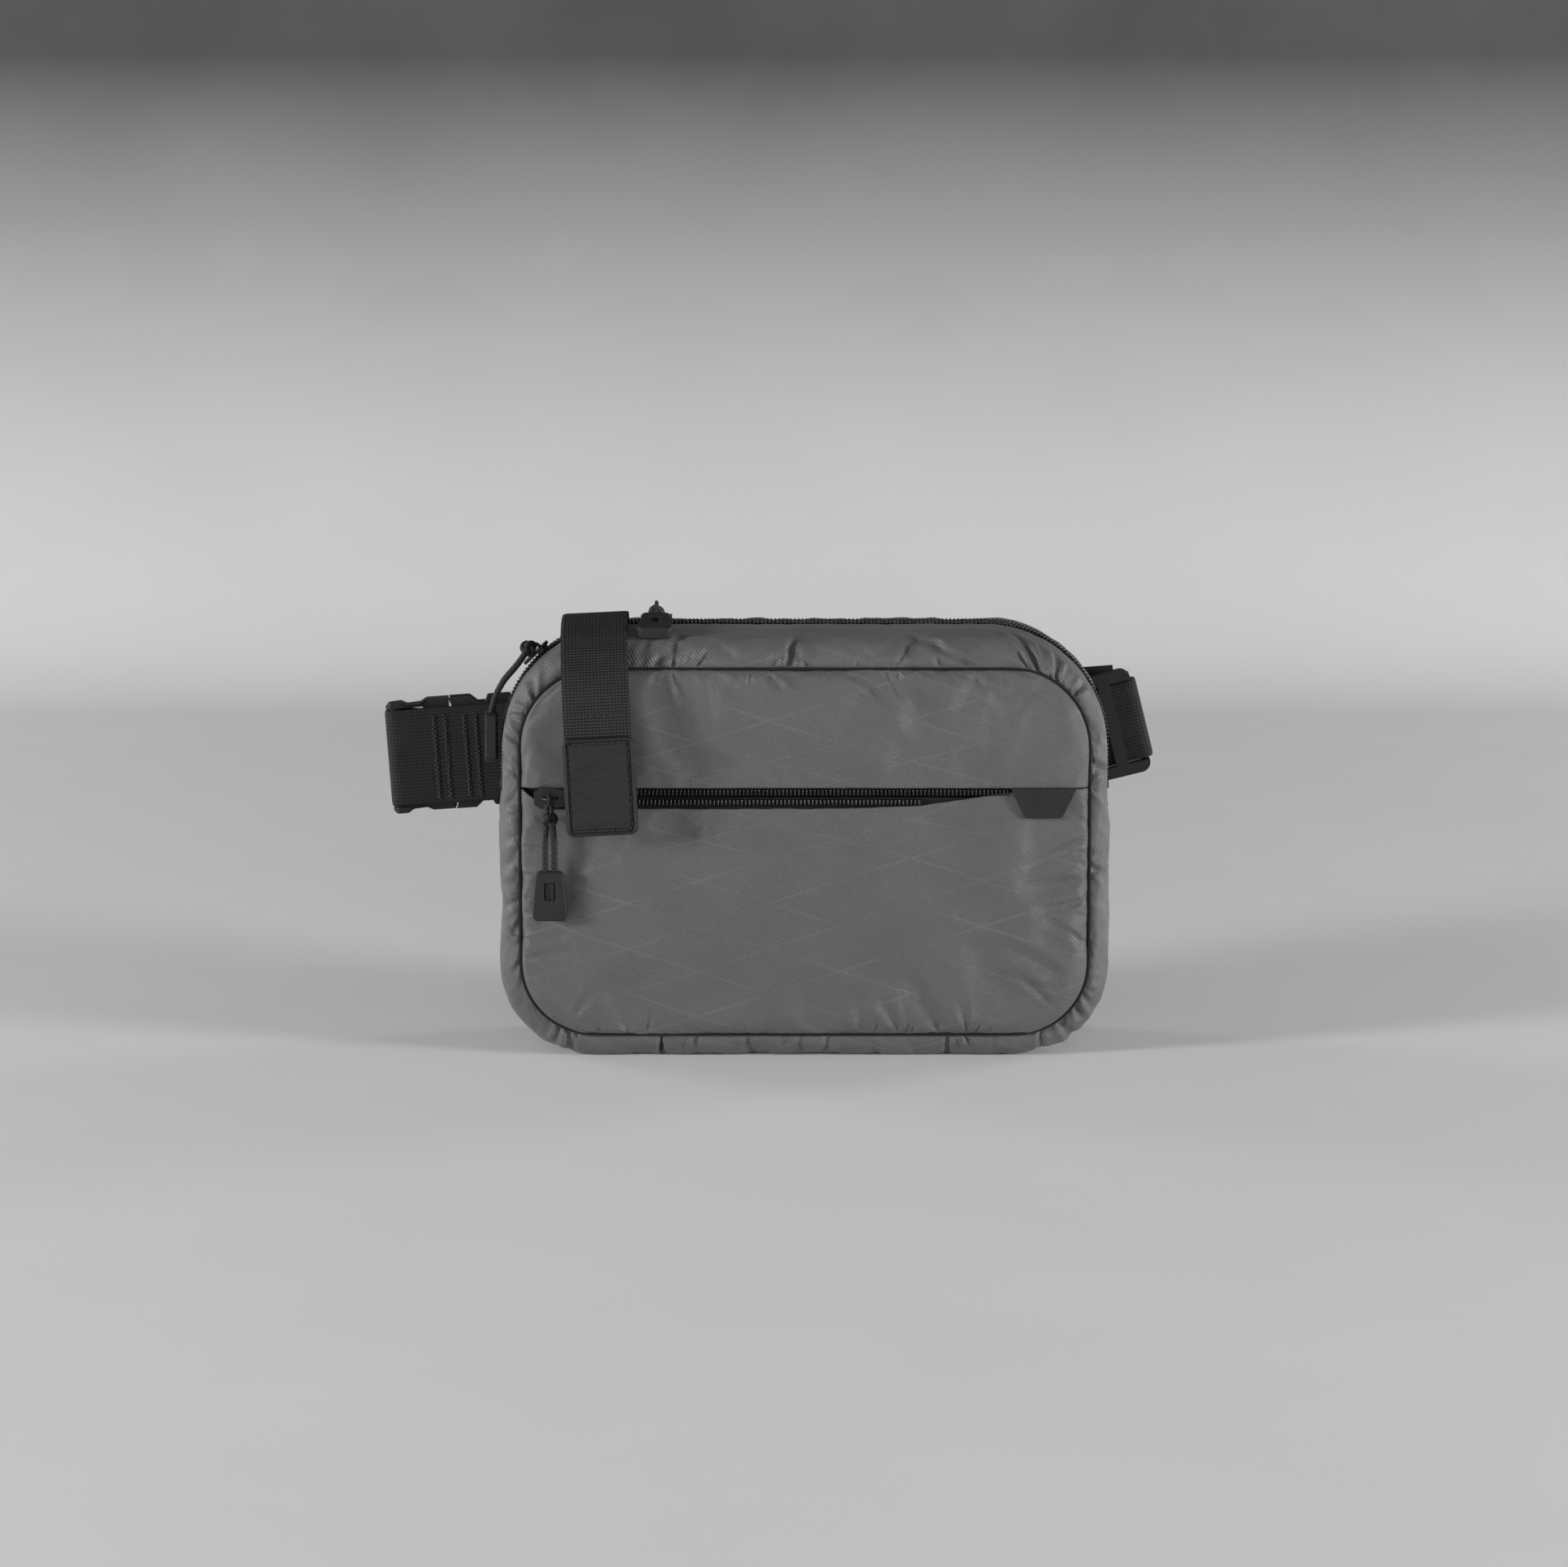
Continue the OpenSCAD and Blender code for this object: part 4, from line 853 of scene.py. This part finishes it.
def panel_grid(heights, shape, cells):
    """Rows of points across a panel at the given heights, closer together at the rim: as pairs, as X and
    as Z, with their distances to the edge."""
    rim = np.array([0, 1, 2.2, 3.6, 5.3])
    rows = []
    for z in heights:
        half = half_at(z, *shape)
        middle = np.linspace(7.5 - half, half - 7.5, cells)
        rows.append([(x, z) for x in np.concatenate([rim - half, middle, half - rim[::-1]])])
    flat = np.array(rows)
    x, z = flat[:, :, 0], flat[:, :, 1]
    return flat, x, z, edge_dist(x, z, *shape)


def rows_between(low, high, r_low, r_high, cell=CELL):
    """Heights from low to high, closer together in rounded corners of those radii (0 for none)."""
    angle = np.radians(np.arange(0, 90, 7.5))
    under = low + r_low * (1 - np.cos(angle)) if r_low else np.array([])
    over = high - r_high * (1 - np.cos(angle[::-1])) if r_high else np.array([])
    count = int((high - r_high - low - r_low) / cell)
    return np.concatenate([under, np.linspace(low + r_low, high - r_high, count), over])


FRONT = (FRONT_W, FRONT_LIFT, FRONT_TOP, FRONT_BOTTOM_R, FRONT_TOP_R)
SEAM_Y, PANEL_RIM, PANEL_BULGE = 32.4, 9.0, 1.4
LIP_UP, LIP_REACH = 3.5, 26.0
# The slit's lower lip: its rise over the zip's middle at places along X
LOWER_LIP = ((-108.5, 3.1), (-104, 0), (-97, -4.5), (0, -4.6), (24, -4.1), (44, -3.3), (60, -1.0), (76, 1.6),
             (96, 3.1))


def upper_lip(x):
    """Rise of the slit's upper lip over the zip's middle."""
    return np.full_like(x, LIP_UP)


def lower_lip(x):
    """Rise of the slit's lower lip: it sags, and closes on the upper one at both ends."""
    return np.interp(x, *zip(*LOWER_LIP))


def front_panel(name, heights, lip, folds, node):
    """One half of the front panel. The row at the pocket zip is drawn away to the slit's lip and hemmed."""
    flat, x, z, dist = panel_grid(heights, FRONT, 76)
    y = -SEAM_Y - (FRONT_FACE - SEAM_Y) * bulge(np.minimum(1, dist / PANEL_RIM))
    y = y - PANEL_BULGE * smooth((dist - 8) / 42) * smooth(abs(z - POCKET_Z) / 20)
    drawn = lip(x) * smooth(1 - abs(z - POCKET_Z) / LIP_REACH)
    points = surface(x, y + chance.normal(0, 0.05, x.shape), z + drawn)
    pins = np.zeros(x.shape, bool)
    pins[[0, -1]] = True
    pins[:, [0, -1]] = True
    piece = make(name, points, grid_faces(*x.shape), flat.reshape(-1, 2))
    puffed(piece, pins.ravel(), 0.016, 0.3, 1.4, bend=0.5)
    refine(piece, 2)
    place, flat, _ = unrolled(piece)
    rim = edge_dist(flat[:, 0], flat[:, 1], *FRONT)
    sunk = np.minimum(creases(flat[:, 0], flat[:, 1], folds), 1.8)
    sunk *= smooth(rim / 2.5) * smooth(abs(flat[:, 1] - POCKET_Z) / 8)
    place[:, 1] = np.maximum(place[:, 1] + sunk, -FRONT_FACE - PANEL_BULGE)
    reshape(piece, lambda p: place)
    fabric(piece, 0.9)
    return finish_piece(piece, "shell", FABRIC, node)


# Folds that the photo shows, then small puckers along each seam
UPPER_FOLDS = [(-14, 149, -50, 18, 2.4, 1.0), (17, 149, -38, 40, 2.2, 0.9), (-50, 149, -68, 16, 2, 0.9),
               (30, 150, -62, 20, 1.8, 0.8), (63, 148, -40, 24, 2.4, 0.7), (88, 142, -140, 20, 2.2, 0.8),
               (-34, 149, -72, 34, 6, 1.2), (-6, 149, -36, 28, 5, 1.1), (32, 149, -52, 44, 6, 1.3),
               (66, 148, -118, 30, 5, 1.0)]
LOWER_FOLDS = [(104, 84, -152, 30, 2.6, 1.0), (106, 62, -165, 24, 2.2, 0.9), (104, 48, 152, 22, 2.4, 0.8),
               (36, 11, 118, 22, 2.6, 0.9), (62, 11, 102, 18, 2, 0.8), (94, 22, 136, 26, 2.4, 0.9),
               (-104, 40, 12, 20, 2.2, 0.7), (-88, 18, 52, 22, 2.4, 0.8), (-60, 11, 80, 14, 1.8, 0.6),
               (52, 12, 122, 34, 5, 1.2), (22, 12, 98, 24, 4, 0.9), (96, 34, 152, 38, 5, 1.2),
               (104, 70, -168, 34, 4, 1.0)]


def pucker(place, angle, turn, lengths, deepest):
    """Small random fold that starts at a seam."""
    return (*place, angle + chance.normal(0, turn), chance.uniform(*lengths), chance.uniform(1, 2),
            chance.uniform(0.2, deepest))


for x in np.arange(-74, 75, 9.0):
    UPPER_FOLDS.append(pucker((x + chance.normal(0, 3), FRONT_TOP), -90, 25, (5, 13), 0.8))
    LOWER_FOLDS.append(pucker((x + chance.normal(0, 3), FRONT_LIFT), 90, 25, (4, 10), 0.7))
for z in np.arange(40, 100, 8.0):
    for end in (-1, 1):
        side_place = (end * FRONT_W / 2, z + chance.normal(0, 2))
        LOWER_FOLDS.append(pucker(side_place, 90 + end * 90, 22, (5, 14), 0.8))

front_panel("front_panel_lower_shell", rows_between(FRONT_LIFT, POCKET_Z, FRONT_BOTTOM_R, 0), lower_lip,
            LOWER_FOLDS, "front_panel_lower")
front_panel("front_panel_upper_shell", rows_between(POCKET_Z, FRONT_TOP, 0, FRONT_TOP_R), upper_lip,
            UPPER_FOLDS, "front_panel_upper")


# Zips
def arch(step):
    """Places along the main zip on the fabric's face: points, directions and outward normals in X-Z."""
    half = PACK_W / 2
    line = [(-half, STOP_TOP), (-half, CORNER_Z)] + arc((-CORNER_X, CORNER_Z), TOP_R, 180, 90, 60)
    line += [(-x, z) for x, z in reversed(line)]
    p = resample(line, step)[0]
    aim = directions(p)
    return p, aim, np.stack([-aim[:, 1], aim[:, 0]], axis=1)


def tooth_form():
    """One moulded tooth, rounded at both ends. Axes: along the zip, across it as a share of half its length,
    and out of it."""
    along, tall, sides = 0.56, 1.05, 8
    rings = [(-1.0, 0.4), (-0.86, 0.82), (-0.4, 1.0), (0.25, 0.86), (0.6, 1.0), (0.9, 0.85), (1.0, 0.45)]
    turn = [2 * math.pi * k / sides for k in range(sides)]
    points = [
        (along * share * math.cos(a), y, tall * share * math.sin(a)) for y, share in rings for a in turn]
    return np.array(points), capped_faces(len(rings), sides)


def teeth(name, node, rows):
    """Teeth at rows of frames: each frame is a place and the three axes of a tooth."""
    form, form_faces = tooth_form()
    points, faces = [], []
    for place, along, across, out in rows:
        first = len(points)
        points.extend(np.asarray(place) + form @ np.array([along, across, out]))
        faces.extend(tuple(first + v for v in f) for f in form_faces)
    return finish_piece(make(name, points, faces), "coil", TEETH, node)


TOOTH_HALF, TOOTH_MIDDLE, TOOTH_SINK = 1.28, 1.25, -0.3


def main_row(face):
    """Frames of one row of the main zip. The rows part round the handle, between the two sliders."""
    p, aim, out = arch(TOOTH_PITCH / 2)
    frames = []
    for i in range(0 if face < 0 else 1, len(p), 2):
        x, z = p[i]
        open_share = smooth((x - MOUTH[0]) / 4) * smooth((MOUTH[1] - x) / 4)
        inner = lerp(ROW_GAP, MOUTH_GAP, float(open_share)) / 2
        (ax, az), (ox, oz) = aim[i], out[i]
        place = (x + ox * TOOTH_SINK, face * (inner + TOOTH_MIDDLE), z + oz * TOOTH_SINK)
        frames.append((place, (ax, 0, az), (0, face * TOOTH_HALF, 0), (ox, 0, oz)))
    return frames


teeth("main_zip_teeth_front", "main_zip_coil_front", main_row(-1))
teeth("main_zip_teeth_rear", "main_zip_coil_rear", main_row(1))

# The lower row goes under the slit's lip near the tag
POCKET_CHAIN = (-102.0, 77.6)
LOWER_ROW_END = 44.0
pocket_frames = []
for side in (-1, 1):
    start = POCKET_CHAIN[0] + (TOOTH_PITCH / 2 if side > 0 else 0)
    for x in np.arange(start, POCKET_CHAIN[1] if side > 0 else LOWER_ROW_END, TOOTH_PITCH):
        place = (x, -FRONT_FACE - TOOTH_SINK, POCKET_Z + side * (ROW_GAP / 2 + TOOTH_MIDDLE))
        pocket_frames.append((place, (1, 0, 0), (0, 0, side * TOOTH_HALF), (0, -1, 0)))
teeth("pocket_zip_teeth", "pocket_zip_coil", pocket_frames)

for slider in ("main_slider_left", "main_slider_right", "pocket_slider"):
    rounded(slider, f"{slider}_cast", METAL, "slider", 0.3)
rounded("main_zip_stops", "main_zip_end_stops", METAL, "slider", 0.5)
rounded("zip_tag", "zip_tag_moulded", RUBBER, "rubber", 0.45)


def paint(material, *nodes):
    """Gives CAD nodes whose shape is right a finished material."""
    for node in nodes:
        for holder in frame["nodes"][node].material_slots:
            holder.material = material


paint(TAPE, "main_zip_tape_front", "main_zip_tape_rear", "pocket_zip_tape")
paint(POCKET_CLOTH, "pocket_liner")
paint(FOAM, "back_pad")


# Webbing
AT_HANDLE = moved((HANDLE_X, 0, PACK_H)) @ turned("Y", -HANDLE_LEAN) @ moved((0, 0, -PACK_H))
AT_BELT = moved((BELT_AT[0], 0, BELT_AT[1])) @ turned("Y", -BELT_SLOPE)
AT_WING = moved((WING_AT[0], 0, WING_AT[1])) @ turned("Y", -WING_SLOPE)
RIB_RISE = 0.2


def strap(name, path, width, thickness, where, across):
    """Webbing along a path in one plane: ribbed on both faces, with rounded selvedges.
    across is the local axis that the width runs along."""
    line, run = resample(soften(resample(path, RIB_PITCH / 4)[0], 5), RIB_PITCH / 4)
    aim = directions(line)
    normal = np.stack([-aim[:, 1], aim[:, 0]], axis=1)
    columns = np.linspace(-1, 1, int(width / 1.3) + 1)
    edge = np.clip((1 - abs(columns)) * width / 2 / 1.2, 0, 1)
    half = (thickness / 2 - RIB_RISE) * (0.55 + 0.45 * np.sqrt(edge))
    points, uv = [], []
    for (a, b), (na, nb), s in zip(line, normal, run):
        rib = RIB_RISE * abs(math.sin(math.pi * s / RIB_PITCH))
        for face in (1, -1):
            for c, h in list(zip(columns, half))[::face]:
                flat = [a + na * face * (h + rib), b + nb * face * (h + rib)]
                flat.insert(across, c * width / 2)
                points.append(where @ Vector(flat))
                uv.append((c * width / 2 + (face < 0) * 2 * width, s))
    return make(name, points, capped_faces(len(line), 2 * len(columns)), uv)


def sewn_on(obj, body, material=THREAD):
    """Stitching and other small pieces that stand for no node of their own."""
    obj.data.materials.append(material)
    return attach(obj, body)


# Painted shadow: a dark tube along the groove of the front seam, standing for the shade that falls there
SEAM_SHADOW_D, SEAM_SHADOW_Y = 1.8, 32.9
seam_shadow_outline = [(half_at(z, *FRONT), z) for z in rows_between(FRONT_LIFT, FRONT_TOP, FRONT_BOTTOM_R, FRONT_TOP_R)]
seam_shadow_outline += [(-x, z) for x, z in reversed(seam_shadow_outline)]
seam_shadow_line = [(x, -SEAM_SHADOW_Y, z) for x, z in resample(seam_shadow_outline + seam_shadow_outline[:1], 1.5)[0]]
sewn_on(tube("front_seam_painted_shadow", [seam_shadow_line], SEAM_SHADOW_D, 8), "pack", TAPE)

tail_path = [(0, SACK_TOP + 0.35)] + arc((-FOLD_R, FOLD_Z), FOLD_R, 0, 90, 13)
tail_path += [(-share * FRONT_D, FOLD_Z + FOLD_R - drop)
              for share, drop in ((0.375, 0.2), (0.69, 1.6), (0.94, 5), (1.14, 10.4))]
flap_drop = HINGE[1] - PATCH_LOW - PATCH_H
flap_path = [(lerp(HINGE[0], -FLAP_Y, out), HINGE[1] - down * flap_drop)
             for out, down in ((0, 0), (0.55, 0.3), (0.88, 0.7), (1, 1))]
handle_path = tail_path + flap_path + [(-FLAP_Y, PATCH_LOW + 1)]
handle = strap("handle_webbing", handle_path, HANDLE_W, HANDLE_T, AT_HANDLE, 0)
finish_piece(handle, "webbing", WEBBING, "handle_tail", "handle_strap", ride=False)
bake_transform(handle)


def stitches(name, line, where, body, long=1.7, pitch=2.4, thread=0.62):
    """Row of lockstitches along a line of 3-D points."""
    paths = []
    for s in np.arange(pitch / 2, run_along(line)[-1] - long, pitch):
        at = np.linspace(s, s + long, 5)
        paths.append(placed(where, points_at(line, at)))
    return sewn_on(tube(name, paths, thread, 6), body)


ROW_HALF, ROW_Y, ROW_Z = 11.2, -47.55, 134.8
stitches("handle_stitch_row", [(-ROW_HALF, ROW_Y, ROW_Z), (ROW_HALF, ROW_Y, ROW_Z)], AT_HANDLE, "handle")


def settle(x, high, low, run):
    """Way back of a strap's end from the far side of its bar onto the strap."""
    return [(x + 0.32 * run, high - 0.4), (x + 0.8 * run, low + 0.3), (x + run, low)]


def belt_piece(name, path, width, where, node):
    finish_piece(strap(name, path, width, BELT_T, where, 2), "webbing", WEBBING, node)


left_wing = [(47.6, SEWN_Y), (0, SEWN_Y)] + arc((BAR_X, SEWN_Y + WRAP_R), WRAP_R, 270, 90, 21)
left_wing += settle(BAR_X, SEWN_Y + 2 * WRAP_R, DOUBLED_Y, 14) + [(16, DOUBLED_Y)]
belt_piece("left_wing", left_wing, BELT_W, AT_BELT, "left_wing_webbing")

loop_end = [(FEMALE_BAR_X + 34, BUCKLE_Y - WRAP_R)] + arc((FEMALE_BAR_X, BUCKLE_Y), WRAP_R, 270, 90, 21)
loop_end += settle(FEMALE_BAR_X, BUCKLE_Y + WRAP_R, TAIL_Y, 16) + [(FEMALE_BAR_X + 70, TAIL_Y)]
belt_piece("belt_loop_end", loop_end, BELT_W, AT_BELT, "belt_tail")

belt_end = WING_AT[0] - BELT_AT[0] + 2
sewn_over = RETURN_Y + BELT_T + 0.35
belt_path = [(FEMALE_BAR_X + 48, STRAP_Y), (belt_end - 60, STRAP_Y), (belt_end - 36, sewn_over),
             (belt_end, sewn_over)]
belt_piece("belt", belt_path, WING_W, AT_BELT, "belt_strap")

right_wing = [(-47.5, SEWN_Y), (-38, SEWN_Y), (-31, GLIDE_Y)]
right_wing += arc((GLIDE_BAR_X, GLIDE_Y + GLIDE_WRAP), GLIDE_WRAP, 270, 450, 21) + [(-22, RETURN_Y)]
belt_piece("right_wing", right_wing, WING_W, AT_WING, "right_wing_strap")

# Zigzag bar tacks that hold the left wing's fold
TACK_PLACES, TACK_SHIFT, TACK_HALF, TACK_STEP, TACK_THREAD = (1.1, 13.1), 2.2, 1.7, 0.9, 0.8
tack_y = SEWN_Y - BELT_T / 2 - 0.1
tacks = []
for x in TACK_PLACES:
    for shift in (-TACK_SHIFT, TACK_SHIFT):
        zigzag = [(x + shift + TACK_HALF * (-1) ** k * 0.5, tack_y, z)
                  for k, z in enumerate(np.arange(-17, 17.1, TACK_STEP))]
        tacks.append(placed(AT_BELT, resample(zigzag, 0.45)[0]))
sewn_on(tube("left_wing_bar_tacks", tacks, TACK_THREAD, 6), "pack")


# Rubber patch on the handle: a raised rim, a stitched groove and wavy ribs on a bare field
PATCH = (PATCH_W, PATCH_LOW, PATCH_LOW + PATCH_H, PATCH_R, PATCH_R)
PATCH_CELL = 0.33
GROOVE_IN, GROOVE_OUT, FIELD_H, GROOVE_H = 2.7, 1.5, 1.8, 1.2
RIBS, RIB_WAVE, RIB_SWING, RIB_H, RIB_HALF, RIB_MARGIN = 6, 8.6, 0.8, 0.34, 0.4, 5.2
patch_base = -FLAP_Y - HANDLE_T / 2


def patch_height(x, z, dist):
    rim = PATCH_T * bulge(np.clip(dist / 0.7, 0, 1))
    field = np.full_like(x, FIELD_H)
    for k in range(RIBS):
        middle = PATCH_LOW + RIB_MARGIN + k * (PATCH_H - 2 * RIB_MARGIN) / (RIBS - 1)
        wavy = middle + RIB_SWING * np.sin(2 * math.pi * x / RIB_WAVE + 0.9 * k)
        field = field + RIB_H * np.exp(-((z - wavy) / RIB_HALF) ** 2)
    inner = lerp(GROOVE_H, field, smooth((dist - GROOVE_IN + 0.35) / 0.5))
    return np.where(dist < GROOVE_OUT - 0.3, rim, lerp(rim, inner, smooth((dist - GROOVE_OUT + 0.3) / 0.4)))


patch_rows = rows_between(*PATCH[1:], PATCH_CELL)
patch_cols = np.concatenate([
    np.linspace(-1, -0.78, 11), np.linspace(-0.765, 0.765, 64), np.linspace(0.78, 1, 11)])
patch_x = np.array([half_at(z, *PATCH) * patch_cols for z in patch_rows])
patch_z = np.repeat(patch_rows[:, None], len(patch_cols), axis=1)
patch_dist = edge_dist(patch_x, patch_z, *PATCH)
patch_y = patch_base - patch_height(patch_x, patch_z, patch_dist)
patch_points = placed(AT_HANDLE, surface(patch_x, patch_y, patch_z))
finish_piece(
    make("handle_patch_moulded", patch_points, grid_faces(*patch_x.shape)), "rubber", RUBBER, "handle_patch")

inset = (GROOVE_IN + GROOVE_OUT) / 2
groove_r = 1.4
corner_at = (PATCH_W / 2 - inset - groove_r, PATCH_H / 2 - inset - groove_r)
groove = []
for sx, sz, a0 in ((1, 1, 0), (-1, 1, 90), (-1, -1, 180), (1, -1, 270)):
    middle = (sx * corner_at[0], PATCH_LOW + PATCH_H / 2 + sz * corner_at[1])
    groove += [(x, patch_base - GROOVE_H - 0.15, z) for x, z in arc(middle, groove_r, a0, a0 + 90, 7)]
stitches("handle_patch_stitching", groove + groove[:1], AT_HANDLE, "handle", thread=0.7)


# Back panel: padded, quilted in upright channels and flat under the sewn belt wings
BACK = (BACK_W, 0.0, BACK_H, BOTTOM_R, TOP_R)
PAD_RISE, CHANNELS, CHANNEL_W, CHANNEL_DROP = 2.2, (-45.0, 45.0), 3.0, 1.7
back_flat, back_x, back_z, back_dist = panel_grid(rows_between(*BACK[1:]), BACK, 82)
under_wing = smooth((abs(back_x) - 58) / 14) * smooth((back_z - 74) / 10) * smooth((152 - back_z) / 10)
pad = PAD_RISE * smooth(back_dist / 22) * (1 - under_wing)
for channel in CHANNELS:
    groove_share = np.exp(-((back_x - channel) / CHANNEL_W) ** 2) * smooth((back_dist - 6) / 10)
    pad = pad - CHANNEL_DROP * groove_share * (1 - under_wing)
back_y = REAR_D + WALL + pad
back = make("back_panel_shell", surface(back_x, back_y, back_z),
            [tuple(reversed(f)) for f in grid_faces(*back_x.shape)], back_flat.reshape(-1, 2))
refine(back, 1)
fabric(back, 0.9)
finish_piece(back, "shell", BACK_CLOTH, "back_panel")
for channel in CHANNELS:
    line = [(channel, REAR_D + WALL + PAD_RISE - CHANNEL_DROP + 0.1, z) for z in np.linspace(18, 140, 60)]
    stitches(f"back_channel_stitching_{'left' if channel < 0 else 'right'}", line, Matrix.Identity(4), "pack")

# Buckle and tri-glide
for node, name in (("buckle_male", "buckle_plug"), ("buckle_prong_upper", "buckle_arm_upper"),
                   ("buckle_prong_lower", "buckle_arm_lower"), ("buckle_female", "buckle_socket_body"),
                   ("tri_glide", "tri_glide_moulded")):
    rounded(node, name, PLASTIC, "hardware", 0.6)


# Sack and rope packed inside
SACK_BOTTOM_R, SACK_TOP_R = 40.0, 45.0
SACK = (PACK_W - 16, TAPE_IN, SACK_TOP, SACK_BOTTOM_R, SACK_TOP_R)
SACK_FRONT, SACK_REAR, SACK_SHOULDER = 28.0, 27.65, 18.5
_, sack_x, sack_z, sack_dist = panel_grid(rows_between(*SACK[1:]), SACK, 60)
sack_folds = [(x, SACK_TOP, -90, 40, 3, 1.4) for x in np.arange(-60, 61, 15)]
sag = creases(sack_x, sack_z, sack_folds) * smooth(sack_dist / 12)
shoulder = SACK_SHOULDER * bulge(np.clip(sack_dist / 3, 0, 1))
sack_side = []
for reach, sign in ((SACK_FRONT, -1), (SACK_REAR, 1)):
    depth = shoulder + (reach - SACK_SHOULDER) * smooth(sack_dist / 18)
    sack_side.append(surface(sack_x, sign * (depth - sag), sack_z))
count = sack_x.size
quads = grid_faces(*sack_x.shape)
sack_faces = quads + [tuple(count + v for v in reversed(f)) for f in quads]
sack = make("throw_sack_cloth", np.concatenate(sack_side), sack_faces)
modifier(sack, "WELD", merge_threshold=0.02 * MM)
modifier(sack, "SUBSURF", levels=1, render_levels=1)
finish_piece(sack, "lining", LINING, "throw_sack")

# The rope: flat round-ended turns, wound across the coil and then inwards, layer by layer
ROPE_D, ROPE_LAYERS, ROPE_ACROSS = 6.4, 6, 4
ROPE_STEP = ROPE_D + 0.15
COIL_STRAIGHT, COIL_R = 68.0, 50.6
coil_low, coil_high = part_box("throw_rope")
coil_z = (coil_low.z + coil_high.z) / 2 / MM


def coil_point(turn, radius, y):
    """Point of a round-ended turn: turn is its share, from the right end's lowest point round to it again."""
    straight, bend = COIL_STRAIGHT, math.pi * radius
    s = (turn % 1) * 2 * (straight + bend)
    if s < bend:
        a = s / radius - math.pi / 2
        return (straight / 2 + radius * math.cos(a), y, coil_z + radius * math.sin(a))
    if s < bend + straight:
        return (straight / 2 - (s - bend), y, coil_z + radius)
    if s < 2 * bend + straight:
        a = (s - bend - straight) / radius + math.pi / 2
        return (-straight / 2 + radius * math.cos(a), y, coil_z + radius * math.sin(a))
    return (-straight / 2 + (s - 2 * bend - straight), y, coil_z - radius)


rope_path = []
STEP_IN = 0.25
turn_at = 0.0
for layer in range(ROPE_LAYERS):
    outer = COIL_R - ROPE_STEP * layer
    edge = (1 if layer % 2 else -1) * ROPE_STEP * ROPE_ACROSS / 2
    for share in np.linspace(0, 1, 48 * ROPE_ACROSS)[1:]:
        rope_path.append(coil_point(turn_at + share * ROPE_ACROSS, outer, lerp(edge, -edge, share)))
    turn_at += ROPE_ACROSS
    if layer < ROPE_LAYERS - 1:
        for share in np.linspace(0, 1, 12)[1:]:
            inwards = outer - ROPE_STEP * float(smooth(share))
            rope_path.append(coil_point(turn_at + share * STEP_IN, inwards, -edge))
        turn_at += STEP_IN
rope_path = soften(resample(rope_path, 4.0)[0], 1)
rope = tube("throw_rope_coil", [rope_path], ROPE_D, 10)
finish_piece(rope, "rope", ROPE_BRAID, "throw_rope")
